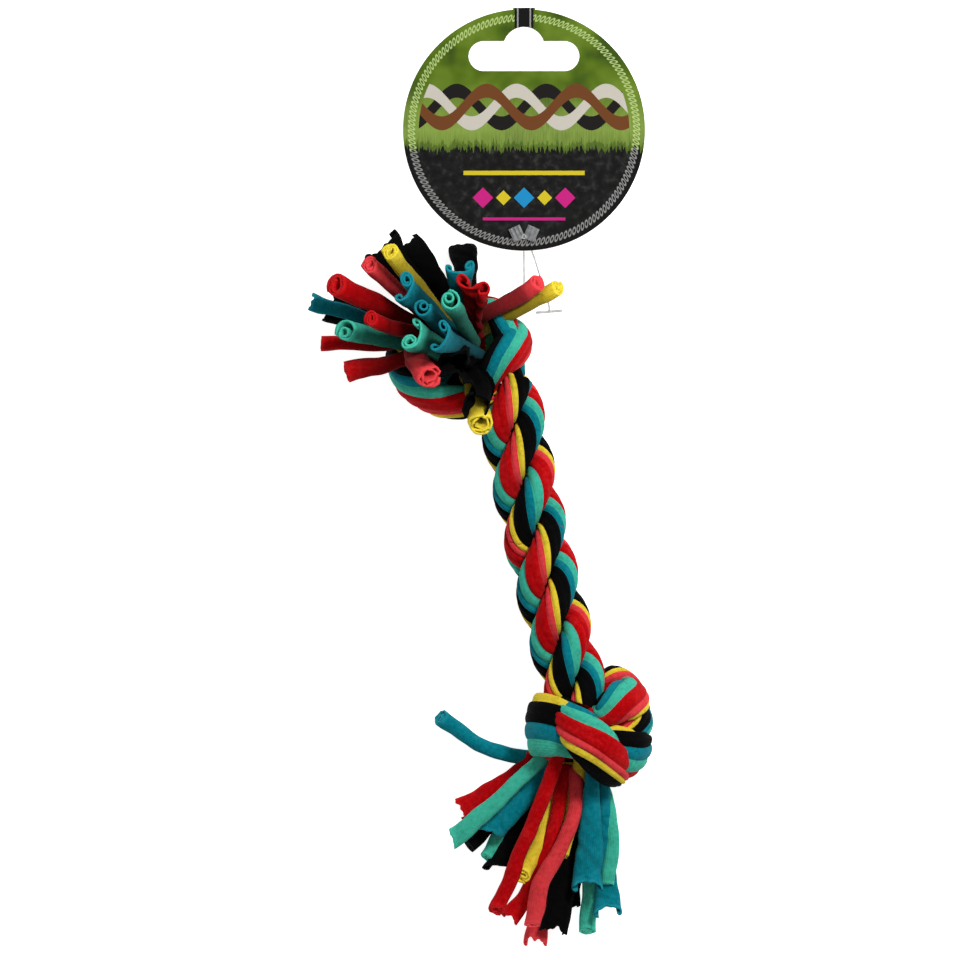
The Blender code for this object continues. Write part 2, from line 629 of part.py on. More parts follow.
def arc(middle, radius, start_deg, end_deg, steps):
    """Returns points on an arc from one angle to another."""
    points = []
    for k in range(steps + 1):
        angle = math.radians(start_deg + (end_deg - start_deg) * k / steps)
        points.append((middle[0] + radius * math.cos(angle), middle[1] + radius * math.sin(angle)))
    return points


def slot_outline():
    """Returns the hang slot's outline: round ends and a hump in the middle of its top edge."""
    end = SLOT_HEIGHT / 2
    run = SLOT_WIDTH / 2 - end
    top = SLOT_MIDDLE + end
    hump_middle = top + SLOT_BUMP_RISE - SLOT_BUMP_RADIUS
    hump_half = math.sqrt(SLOT_BUMP_RADIUS ** 2 - (top - hump_middle) ** 2)
    foot = math.degrees(math.atan2(top - hump_middle, hump_half))
    points = arc((run, SLOT_MIDDLE), end, -90, 90, SLOT_END_STEPS)
    points += arc((0, hump_middle), SLOT_BUMP_RADIUS, foot, 180 - foot, SLOT_END_STEPS)
    points += arc((-run, SLOT_MIDDLE), end, 90, 270, SLOT_END_STEPS)
    return points


def card_outline():
    """Returns a panel's outline: a circle cut straight where the fold joins it."""
    half = math.degrees(math.asin(FOLD_WIDTH / 2 / CARD_RADIUS))
    return arc((0, 0), CARD_RADIUS, 90 + half, 450 - half, CARD_STEPS)


def panel(name, low, high):
    """Makes one panel of the card between two heights, with its slot and pin hole."""
    mesh = bmesh.new()
    outlines = (
        card_outline(),
        slot_outline(),
        arc((0, -PIN_HOLE_DROP), PIN_HOLE_RADIUS, 0, 360 * (1 - 1 / PIN_HOLE_STEPS), PIN_HOLE_STEPS - 1),
    )
    edges = []
    for outline in outlines:
        verts = [mesh.verts.new((x, y, low)) for x, y in outline]
        edges += [mesh.edges.new((verts[k - 1], verts[k])) for k in range(len(verts))]
    bmesh.ops.triangle_fill(mesh, use_beauty=True, edges=edges)
    pulled = bmesh.ops.extrude_face_region(mesh, geom=list(mesh.faces))
    raised = [v for v in pulled["geom"] if isinstance(v, bmesh.types.BMVert)]
    bmesh.ops.translate(mesh, verts=raised, vec=(0, 0, high - low))
    bmesh.ops.recalc_face_normals(mesh, faces=mesh.faces)
    return make_object(name, mesh)


def fold(name):
    """Makes the short fold that joins the two panels at the top."""
    outer = CARD_THICKNESS + CARD_SPACE / 2
    inner = CARD_SPACE / 2
    foot = math.sqrt(CARD_RADIUS ** 2 - (FOLD_WIDTH / 2) ** 2)
    middle = CARD_THICKNESS + CARD_SPACE / 2
    profile = [(foot - FOLD_OVERLAP, middle - outer)] + [
        (foot + y, middle + z) for y, z in arc((0, 0), outer, -90, 90, FOLD_STEPS)
    ] + [(foot - FOLD_OVERLAP, middle + outer), (foot - FOLD_OVERLAP, middle + inner)] + [
        (foot + y, middle + z) for y, z in arc((0, 0), inner, 90, -90, FOLD_STEPS)
    ] + [(foot - FOLD_OVERLAP, middle - inner)]
    mesh = bmesh.new()
    verts = [mesh.verts.new((-FOLD_WIDTH / 2 + FOLD_INSET, y, z)) for y, z in profile]
    mesh.faces.new(verts)
    pulled = bmesh.ops.extrude_face_region(mesh, geom=list(mesh.faces))
    raised = [v for v in pulled["geom"] if isinstance(v, bmesh.types.BMVert)]
    bmesh.ops.translate(mesh, verts=raised, vec=(FOLD_WIDTH - 2 * FOLD_INSET, 0, 0))
    bmesh.ops.recalc_face_normals(mesh, faces=mesh.faces)
    return make_object(name, mesh)


def card_matrix():
    """Returns where the card lies: its top on the table, its lower rim raised by the strip beneath."""
    tilt = math.radians(CARD_TILT_DEG)
    middle = place(CARD_MIDDLE_PX, 0)
    reach = CARD_RADIUS + CARD_THICKNESS + CARD_SPACE / 2
    middle.z = CARD_REST_HEIGHT + reach * math.sin(tilt)
    return Matrix.Translation(middle) @ Matrix.Rotation(-tilt, 4, "X")


def hang_card():
    """Makes the folded card."""
    card = panel("hang_tag", 0, CARD_THICKNESS)
    front = panel("front_panel", CARD_THICKNESS + CARD_SPACE, 2 * CARD_THICKNESS + CARD_SPACE)
    join_onto(card, [fold("fold"), front])
    card.data.transform(card_matrix())
    paint(card, CARD_COLOUR, CARD_ROUGHNESS)
    return card


def card_ceiling(balls):
    """Returns how high a point under or near the card may reach."""
    matrix = card_matrix()
    middle = matrix.translation
    near = np.hypot(balls[:, 0] - middle.x, balls[:, 1] - middle.y) < CARD_RADIUS + CARD_CLEARANCE
    slope = math.tan(math.radians(CARD_TILT_DEG))
    under = middle.z - (balls[:, 1] - middle.y) * slope - GAP
    return np.where(near, under, SKY)


def swept_tube(name, points, radius, rings):
    """Makes a round tube on a smooth curve through the given points."""
    route = smooth_curve(points, rings)
    size = [2 * radius] * rings
    return sweep(name, route, size, size, carried_normals(route, (1.0, 0.2, 0.1)), SECTION_SIDES["fine"])


def paddle(name, hub, lean_deg, matrix):
    """Makes a pin's ribbed paddle, leaning to one side above the hole."""
    mesh = bmesh.new()
    bmesh.ops.create_cube(mesh, size=1.0)
    bmesh.ops.scale(mesh, verts=mesh.verts, vec=(PADDLE_WIDTH, PADDLE_LENGTH, PADDLE_THICKNESS))
    for side in (-1, 0, 1):
        rib = bmesh.ops.create_cube(mesh, size=1.0)["verts"]
        bmesh.ops.scale(mesh, verts=rib, vec=(RIB_WIDTH, PADDLE_LENGTH - RIB_WIDTH, RIB_RISE))
        offset = (side * PADDLE_WIDTH / 3, 0, (PADDLE_THICKNESS + RIB_RISE) / 2 - RIB_SINK)
        bmesh.ops.translate(mesh, verts=rib, vec=offset)
    inward = math.copysign(PADDLE_WIDTH / 2 - PADDLE_EDGE, -lean_deg)
    bmesh.ops.translate(mesh, verts=mesh.verts, vec=(inward, PADDLE_LENGTH / 2 - PADDLE_FOOT, 0))
    turn = Matrix.Rotation(math.radians(lean_deg), 4, "Z")
    bmesh.ops.transform(mesh, matrix=matrix @ Matrix.Translation(hub) @ turn, verts=mesh.verts)
    return make_object(name, mesh)


def tag_pin(name, side, ways, bar_ends):
    """Makes one tagging pin: paddle in front of the card, filament through the hole, bar at the strips."""
    matrix = card_matrix()
    front = 2 * CARD_THICKNESS + CARD_SPACE
    height = front + GAP + PADDLE_THICKNESS / 2
    hub = Vector((side * FILAMENT_SPREAD, -PIN_HOLE_DROP, height))
    below = Vector((side * FILAMENT_SPREAD, -PIN_HOLE_DROP, -GAP - FILAMENT_RADIUS))
    route = [matrix @ hub, matrix @ below] + [Vector(w) for w in ways]
    pin = swept_tube(name, route, FILAMENT_RADIUS, FILAMENT_RINGS)
    bar = swept_tube("bar", [bar_ends[0], (Vector(bar_ends[0]) + Vector(bar_ends[1])) / 2, bar_ends[1]],
                     BAR_RADIUS, BAR_RINGS)
    ribbed = paddle("paddle", hub, -side * PADDLE_LEAN_DEG, matrix)
    join_onto(pin, [ribbed, bar])
    paint(pin, PIN_COLOUR, PIN_ROUGHNESS)
    return pin


def clear_strips(strips):
    """Cuts a strip back where an earlier one still presses into it."""
    entries = list(strips.values())
    for k, (strip, route, wide, thick) in enumerate(entries):
        for later, *_ in entries[k + 1:]:
            if tree_of(strip).overlap(tree_of(later)):
                cutter = swollen("strip_cutter", route, wide, thick, strip_normals(route), SECTION_SIDES["strip"])
                cut_away(later, [cutter])
                bpy.data.objects.remove(cutter, do_unlink=True)


def clear_bands(bands, strips):
    """Cuts a knot's bands back where a strip that leaves the knot still presses into them."""
    for band, *_ in bands:
        for strip, route, wide, thick in strips.values():
            if tree_of(band).overlap(tree_of(strip)):
                normals = strip_normals(route)
                cutter = swollen("strip_cutter", route, wide, thick, normals, SECTION_SIDES["strip"])
                cut_away(band, [cutter])
                bpy.data.objects.remove(cutter, do_unlink=True)


def tree_of(thing):
    """Returns the search tree of an object's faces."""
    mesh = bmesh.new()
    mesh.from_mesh(thing.data)
    tree = BVHTree.FromBMesh(mesh)
    mesh.free()
    return tree


def crossing(strip, pixel_x):
    """Returns the middle of a strip, its direction and its size where it crosses a column of the picture."""
    _, route, wide, thick = strip
    x = (pixel_x - MIDDLE_PX[0]) * PIXEL
    dense = evenly(route, DENSE_STEPS)
    nearest = int(np.argmin(np.abs(dense[:, 0] - x)))
    return Vector(dense[nearest]), Vector(tangents(dense)[nearest]), float(wide[-1]), float(thick[-1])


def tag_pins(strips):
    """Makes both tagging pins and the holes where they pierce the coral and the yellow strip."""
    pins = []
    for name, side, strip_name, leave_px, strip_px in (
        ("tag_pin_left", -1, "coral_2", LEFT_LEAVE_PX, LEFT_PIERCE_X_PX),
        ("tag_pin_right", 1, "yellow_2", RIGHT_LEAVE_PX, RIGHT_PIERCE_X_PX),
    ):
        middle, along, wide, thick = crossing(strips[strip_name], strip_px)
        leave = place(leave_px, FILAMENT_HEIGHT)
        through = Vector((middle.x - leave.x, middle.y - leave.y, 0)).normalized()
        enter = middle - through * (wide / 2 + PIERCE_RUN)
        beyond = middle + through * (wide / 2 + PIERCE_RUN)
        if side < 0:
            beyond = middle + through * PIERCE_RUN - Vector((0, 0, thick / 2 + PIERCE_RUN))
        hole = swept_tube("pierce_cutter", [enter, middle, beyond], FILAMENT_RADIUS + PIERCE_CLEARANCE, BAR_RINGS)
        cut_away(strips[strip_name][0], [hole])
        bpy.data.objects.remove(hole, do_unlink=True)
        if side < 0:
            bar_way = along.normalized()
            bar_middle = beyond - Vector((0, 0, LEFT_BAR_DROP))
        else:
            bar_way = Vector((1.0, BAR_SLOPE_SHARE, 0)).normalized()
            bar_middle = place(RIGHT_BAR_PX, beyond.z)
        ends = (bar_middle - bar_way * BAR_LENGTH / 2, bar_middle + bar_way * BAR_LENGTH / 2)
        last = [beyond, bar_middle]
        approach = enter - through * APPROACH_RUN - Vector((0, 0, APPROACH_DROP))
        pins.append(tag_pin(name, side, [leave, approach, enter, middle] + last, ends))
    return pins


def balls_of(bands, plies):
    """Returns balls that fill the knot bands and the rope's plies, for the strips to keep clear of."""
    balls = []
    for band, route, widths, thick, normals in bands:
        sides = np.cross(tangents(route), normals)
        for p, side, width, t in zip(route, sides, widths, thick):
            for share in BAND_BALL_SHARES:
                balls.append((p + side * share * max(width - t, 0.0) / 2, t / 2))
    for _, route in plies:
        balls += [(p, PLY_RADIUS) for p in route]
    return balls


def hang_on(name, pivot, things):
    """Parents the pieces that move together to an empty on their joint's axis."""
    empty = bpy.data.objects.new(name, None)
    bpy.context.scene.collection.objects.link(empty)
    empty.location = pivot
    bpy.context.view_layer.update()
    for thing in things:
        thing.parent = empty
        thing.matrix_parent_inverse = empty.matrix_world.inverted()


def rest_cutter(middle):
    """Makes a block whose top lies on the table plane, to cut a knot flat where it rests."""
    mesh = bmesh.new()
    bmesh.ops.create_cube(mesh, size=1.0)
    side = 4 * KNOT_RADIUS
    bmesh.ops.scale(mesh, verts=mesh.verts, vec=(side, side, side))
    bmesh.ops.translate(mesh, verts=mesh.verts, vec=(middle[0], middle[1], -side / 2))
    return make_object("table_cutter", mesh)


def throat_cutter(name, hub, axis):
    """Makes the cylinder that keeps a knot's bands out of the bundle of strip roots."""
    axis = Vector(axis).normalized()
    start = hub - axis * (ROOT_DEPTH + GAP)
    end = hub + axis * KNOT_RADIUS
    rings = 3
    route = smooth_curve([start, (start + end) / 2, end], rings)
    size = [2 * THROAT_RADIUS] * rings
    return sweep(name, route, size, size, carried_normals(route, (1.0, 0.3, 0.2)), THROAT_SIDES)


def main():
    """Builds the whole toy."""
    for thing in list(bpy.data.objects):
        bpy.data.objects.remove(thing, do_unlink=True)

    middle = rope_route()
    plies = rope_plies(middle)
    rope_cutters = []
    for ply, route in plies:
        size = [2 * PLY_RADIUS] * len(route)
        normals = carried_normals(route, (0, 0, 1))
        rope_cutters.append(swollen(f"{ply.name}_cutter", route, size, size, normals, SECTION_SIDES["ply"]))

    upper_middle = place(UPPER_KNOT_PX, UPPER_KNOT_HEIGHT)
    offset = LOWER_KNOT_FROM_ROPE_PX
    lower_middle = Vector(middle[-1]) + Vector((offset[0] * PIXEL, offset[1] * PIXEL, 0))
    lower_middle.z = LOWER_KNOT_HEIGHT

    def lower_place(pixel, height):
        """Returns a point of the lower end, which moves with the rope's end."""
        across = (pixel[0] - LOWER_KNOT_PX[0]) * PIXEL
        down = (LOWER_KNOT_PX[1] - pixel[1]) * PIXEL
        return Vector((lower_middle.x + across, lower_middle.y + down, height))

    upper_hub = place(UPPER_HUB_PX, UPPER_HUB_HEIGHT)
    lower_hub = lower_place(LOWER_HUB_PX, LOWER_HUB_HEIGHT)
    upper_axis = Vector(UPPER_AXIS_SHARES).normalized()
    lower_axis = Vector(LOWER_AXIS_SHARES).normalized()

    made = {}
    cutters = list(rope_cutters)
    for prefix, bands, knot_middle, hub, axis in (
        ("upper", UPPER_BANDS, upper_middle, upper_hub, upper_axis),
        ("lower", LOWER_BANDS, lower_middle, lower_hub, lower_axis),
    ):
        throat = throat_cutter(f"{prefix}_throat", hub, axis)
        table = rest_cutter(knot_middle)
        bands_made, used = knot_bands(prefix, bands, knot_middle, rope_cutters, throat)
        for band, *_ in bands_made:
            cut_away(band, [table])
        made[prefix] = bands_made
        cutters += [c for c in used if c not in cutters] + [throat, table]

    for prefix, strips, hub, axis, spot, ceiling in (
        ("upper", UPPER_STRIPS, upper_hub, upper_axis, place, card_ceiling),
        ("lower", LOWER_STRIPS, lower_hub, lower_axis, lower_place, lambda balls: np.full(len(balls), SKY)),
    ):
        routes = strip_routes(strips, np.array(hub), axis, spot)
        sizes = strip_sizes(strips)
        solid = balls_of(made[prefix], plies)
        routes = part_strips(routes, sizes, solid, np.array(hub), axis, ceiling)
        made[f"{prefix}_strips"] = fringe(prefix, strips, routes, sizes)
        clear_strips(made[f"{prefix}_strips"])
        clear_bands(made[prefix], made[f"{prefix}_strips"])

    card = hang_card()
    pins = tag_pins(made["upper_strips"])

    lower_pieces = [band for band, *_ in made["lower"]] + [strip for strip, *_ in made["lower_strips"].values()]
    hang_on("rope_bend_axis", Vector(middle[0]), [ply for ply, _ in plies] + lower_pieces)
    hang_on("tag_swing_axis", card_matrix() @ Vector((0, -PIN_HOLE_DROP, 0)), [card] + pins)

    for cutter in cutters:
        bpy.data.objects.remove(cutter, do_unlink=True)


main()
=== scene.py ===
"""Looks of a fabric tug toy: laid rope, two knots, two fringes, a hang card and its two tagging pins.

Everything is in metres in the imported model's frame: the toy lies on the table, +Y is up the card, +Z is up.
"""

import logging
import math
from collections.abc import Callable, Sequence
from dataclasses import dataclass, field
from enum import Enum

import bmesh
import bpy
import numpy as np
from mathutils import Matrix, Vector


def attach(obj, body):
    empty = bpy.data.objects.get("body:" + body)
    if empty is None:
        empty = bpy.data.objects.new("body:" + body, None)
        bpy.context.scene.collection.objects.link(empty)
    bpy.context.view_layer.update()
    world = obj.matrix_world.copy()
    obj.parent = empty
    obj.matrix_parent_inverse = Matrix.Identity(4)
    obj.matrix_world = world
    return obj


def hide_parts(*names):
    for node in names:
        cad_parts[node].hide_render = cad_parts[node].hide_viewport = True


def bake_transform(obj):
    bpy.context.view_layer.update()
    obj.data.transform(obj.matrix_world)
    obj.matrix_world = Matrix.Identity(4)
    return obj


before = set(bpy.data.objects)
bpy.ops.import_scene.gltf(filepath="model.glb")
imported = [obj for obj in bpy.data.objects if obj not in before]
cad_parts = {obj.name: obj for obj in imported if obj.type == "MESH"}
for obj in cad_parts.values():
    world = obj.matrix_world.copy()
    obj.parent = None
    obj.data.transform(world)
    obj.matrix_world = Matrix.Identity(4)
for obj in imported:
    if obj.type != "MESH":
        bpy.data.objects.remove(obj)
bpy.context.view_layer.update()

LOG = logging.getLogger("tug_toy")

MM = 0.001
PIXEL = 0.2893 * MM
MIDDLE_PX = (481.25, 478.5)
PICTURE_PX = 960
GAP = 0.3 * MM
CLEARANCE = 0.5 * MM
FLOOR_GAP = 0.02 * MM
TINY = 0.01 * MM
KNOT_RADIUS = 17.4 * MM
CURVE_STEPS = 12
UP = np.array((0.0, 0.0, 1.0))
FACE_SIDE = (0.0, 0.25, 1.0)
FULL_TURN = 2 * math.pi

Point = Sequence[float]
Line = np.ndarray
Balls = list[tuple[Line, float]]


class Colour(Enum):
    """The six jersey colours, linear."""

    RED = (0.47, 0.001, 0.003)
    CORAL = (0.70, 0.042, 0.050)
    YELLOW = (0.74, 0.56, 0.034)
    MINT = (0.045, 0.44, 0.31)
    TEAL = (0.001, 0.19, 0.24)
    BLACK = (0.0022, 0.0022, 0.0025)

    def toned(self, share: float, fluffy: bool = False) -> Point:
        """Returns the colour made darker or paler, with pale loose fibres where asked."""
        fluff = (0.001 if self is Colour.BLACK else 0.010) if fluffy else 0.0
        return tuple(min(1.0, c * share + fluff) for c in self.value)


class Roll(Enum):
    """How a jersey strip has rolled itself up, as seen at its cut end."""

    TUBE = "both edges rolled to the back until they meet"
    SPIRAL = "rolled up from one edge"
    SCROLL = "one edge rolled to the front and the other to the back"
    HOOK = "flat with one edge rolled"
    FLAT = "nearly flat with lightly rolled edges"
    BUNCH = "crumpled"


def place(pixel: Point, height: float) -> Vector:
    """Returns the point of the toy's frame that lies under a pixel of the picture, at a height."""
    return Vector(((pixel[0] - MIDDLE_PX[0]) * PIXEL, (MIDDLE_PX[1] - pixel[1]) * PIXEL, height))


def lengths_along(line: Line) -> Line:
    """Returns the distance from a line's start to each of its points."""
    steps = np.linalg.norm(np.diff(line, axis=0), axis=1)
    return np.concatenate(([0.0], np.cumsum(steps)))


def evenly(line: Line, count: int) -> Line:
    """Spaces points evenly along a line; columns after the place are carried along.

    Args:
        line: Points as rows, with the place in the first three columns.
        count: How many points to return.

    Returns:
        The evenly spaced rows.
    """
    along = lengths_along(line[:, :3])
    wanted = np.linspace(0.0, along[-1], count)
    return np.stack([np.interp(wanted, along, column) for column in line.T], axis=1)


def smooth_curve(points: Sequence[Point], count: int) -> Line:
    """Draws a smooth curve through points.

    Args:
        points: The points to pass through, with any further columns.
        count: How many evenly spaced points to return.

    Returns:
        Points on the curve.
    """
    pts = [np.array(p, dtype=float) for p in points]
    pts = [2 * pts[0] - pts[1]] + pts + [2 * pts[-1] - pts[-2]]
    dense = []
    for a, b, c, d in zip(pts, pts[1:], pts[2:], pts[3:]):
        for t in (step / CURVE_STEPS for step in range(CURVE_STEPS)):
            bends = (2 * a - 5 * b + 4 * c - d) * t * t + (3 * b - 3 * c + d - a) * t ** 3
            dense.append(0.5 * (2 * b + (c - a) * t + bends))
    return evenly(np.array(dense + [pts[-2]]), count)


def tangents(line: Line) -> Line:
    """Returns the unit direction of a line at each of its points."""
    run = np.gradient(line, axis=0)
    return run / np.linalg.norm(run, axis=1)[:, None]


def carried_normals(line: Line, first: Point) -> Line:
    """Carries a normal along a line with as little turning as possible.

    Args:
        line: Points of the line.
        first: The direction to start from.

    Returns:
        One unit normal for each point.
    """
    normals = []
    normal = np.array(first, dtype=float)
    for t in tangents(line):
        normal = normal - t * normal.dot(t)
        normal = normal / np.linalg.norm(normal)
        normals.append(normal)
    return np.array(normals)


def radial_normals(line: Line, middle: Line) -> Line:
    """Returns normals that point away from a middle point, square to the line."""
    normals = [UP]
    for p, t in zip(line, tangents(line)):
        out = p - middle
        out = out - t * out.dot(t)
        length = np.linalg.norm(out)
        normals.append(out / length if length > GAP else normals[-1])
    return np.array(normals[1:])


def strip_normals(route: Line) -> Line:
    """Returns a strip's face side, carried from its tip back to its root."""
    return carried_normals(route[::-1], FACE_SIDE)[::-1]


def shoved(balls: Line, others: Line, apart: Line) -> Line:
    """Moves balls half the way that they lack to clear others.

    Args:
        balls: Their middles.
        others: The middle of the ball that each has to clear.
        apart: The sum of the two radii, for each.

    Returns:
        How far each ball moves.
    """
    between = balls - others
    far = np.linalg.norm(between, axis=1)
    short = np.maximum(apart + CLEARANCE - far, 0.0)
    return between * (short / np.maximum(far, TINY))[:, None] / 2


def ripple(along: Line, seed: int, waves_mm: Sequence[float]) -> Line:
    """Makes a smooth, repeatable unevenness.

    Args:
        along: Distances at which it is wanted.
        seed: Number that sets its phases.
        waves_mm: Wave lengths to mix, in millimetres.

    Returns:
        Values between about minus one and one.
    """
    phases = np.random.default_rng(seed).uniform(0.0, FULL_TURN, len(waves_mm))
    parts = [np.sin(along * FULL_TURN / (wave * MM) + phase) for wave, phase in zip(waves_mm, phases)]
    return sum(parts) / len(parts)


@dataclass(frozen=True)
class Value:
    """A number, place or colour that a node works out; sums with it add further nodes."""

    paint: "Nodes"
    socket: bpy.types.NodeSocket

    def do(self, operation: str, other: object = None) -> "Value":
        """Adds a sum.

        Args:
            operation: The kind of sum.
            other: A second value or a number, where the sum has two.

        Returns:
            The result.
        """
        node = self.paint.node("ShaderNodeMath")
        node.operation = operation
        self.paint.feed(self, node.inputs[0])
        if other is not None:
            self.paint.feed(other, node.inputs[1])
        return Value(self.paint, node.outputs[0])

    def __add__(self, other: object) -> "Value":
        """Adds."""
        return self.do("ADD", other)

    def __sub__(self, other: object) -> "Value":
        """Subtracts."""
        return self.do("SUBTRACT", other)

    def __mul__(self, other: object) -> "Value":
        """Multiplies."""
        return self.do("MULTIPLY", other)

    def __lt__(self, other: float) -> "Value":
        """Gives 1 where it is less, and 0 elsewhere."""
        return self.do("LESS_THAN", other)

    def __gt__(self, other: float) -> "Value":
        """Gives 1 where it is greater, and 0 elsewhere."""
        return self.do("GREATER_THAN", other)

    def __abs__(self) -> "Value":
        """Drops the sign."""
        return self.do("ABSOLUTE")

    def __rsub__(self, other: float) -> "Value":
        """Subtracts it from a number."""
        return self * -1.0 + other

    def within(self, low: float, high: float) -> "Value":
        """Keeps it between two limits."""
        return self.do("MAXIMUM", low).do("MINIMUM", high)


class Nodes:
    """A short way to write one node material."""

    def __init__(self, name: str) -> None:
        """Makes an empty material with its shader."""
        self.material = bpy.data.materials.new(name)
        self.material.use_nodes = True
        self.tree = self.material.node_tree
        self.shader = self.tree.nodes["Principled BSDF"]

    def node(self, kind: str) -> bpy.types.Node:
        """Adds a node of a kind."""
        return self.tree.nodes.new(kind)

    def feed(self, source: object, target: bpy.types.NodeSocket) -> None:
        """Links a value to a socket, or sets a plain number or colour there."""
        if isinstance(source, Value):
            self.tree.links.new(source.socket, target)
        else:
            target.default_value = source

    def here(self, kind: str = "Object") -> Value:
        """Returns where a point lies: in the piece's frame, or on its cloth with the kind UV."""
        return Value(self, self.node("ShaderNodeTexCoord").outputs[kind])

    def split(self, vector: Value) -> tuple[Value, ...]:
        """Returns the three parts of a place."""
        node = self.node("ShaderNodeSeparateXYZ")
        self.feed(vector, node.inputs[0])
        return tuple(Value(self, output) for output in node.outputs)

    def noise(self, vector: Value, scale: float, detail: float) -> Value:
        """Adds a noise pattern.

        Args:
            vector: Where it is read.
            scale: Its fineness, in cells a metre.
            detail: How many finer layers it has.

        Returns:
            Its value.
        """
        node = self.node("ShaderNodeTexNoise")
        for source, name in ((vector, "Vector"), (scale, "Scale"), (detail, "Detail")):
            self.feed(source, node.inputs[name])
        return Value(self, node.outputs[0])

    def ramp(self, value: Value, stops: Sequence[tuple[float, Point]]) -> Value:
        """Turns a value into a colour.

        Args:
            value: The value.
            stops: Places and colours.

        Returns:
            The colour.
        """
        node = self.node("ShaderNodeValToRGB")
        ramp = node.color_ramp
        while len(ramp.elements) < len(stops):
            ramp.elements.new(1.0)
        for element, (stop, colour) in zip(ramp.elements, stops):
            element.position = stop
            element.color = (*colour, 1.0)
        self.feed(value, node.inputs[0])
        return Value(self, node.outputs[0])

    def mix(self, share: object, first: object, second: object) -> Value:
        """Mixes two colours.

        Args:
            share: How much of the second.
            first: A colour, plain or worked out.
            second: Another.

        Returns:
            The mixed colour.
        """
        node = self.node("ShaderNodeMix")
        node.data_type = "RGBA"
        self.feed(share, node.inputs[0])
        for source, target in ((first, node.inputs[6]), (second, node.inputs[7])):
            self.feed(source if isinstance(source, Value) else (*source, 1.0), target)
        return Value(self, node.outputs[2])

    def finish(self, colour: Value, values: dict[str, object], height: Value | None = None, rise: float = 0.0,
               strength: float = 0.0) -> bpy.types.Material:
        """Dresses the shader.

        Args:
            colour: The base colour.
            values: The shader's own plain values.
            height: Relief, where there is any.
            rise: How far a height of one stands out.
            strength: How strongly the relief shows.

        Returns:
            The material.
        """
        self.feed(colour, self.shader.inputs["Base Color"])
        for name, value in values.items():
            self.shader.inputs[name].default_value = value
        if height is not None:
            bump = self.node("ShaderNodeBump")
            for source, name in ((strength, "Strength"), (rise, "Distance"), (height, "Height")):
                self.feed(source, bump.inputs[name])
            self.tree.links.new(bump.outputs[0], self.shader.inputs["Normal"])
        return self.material


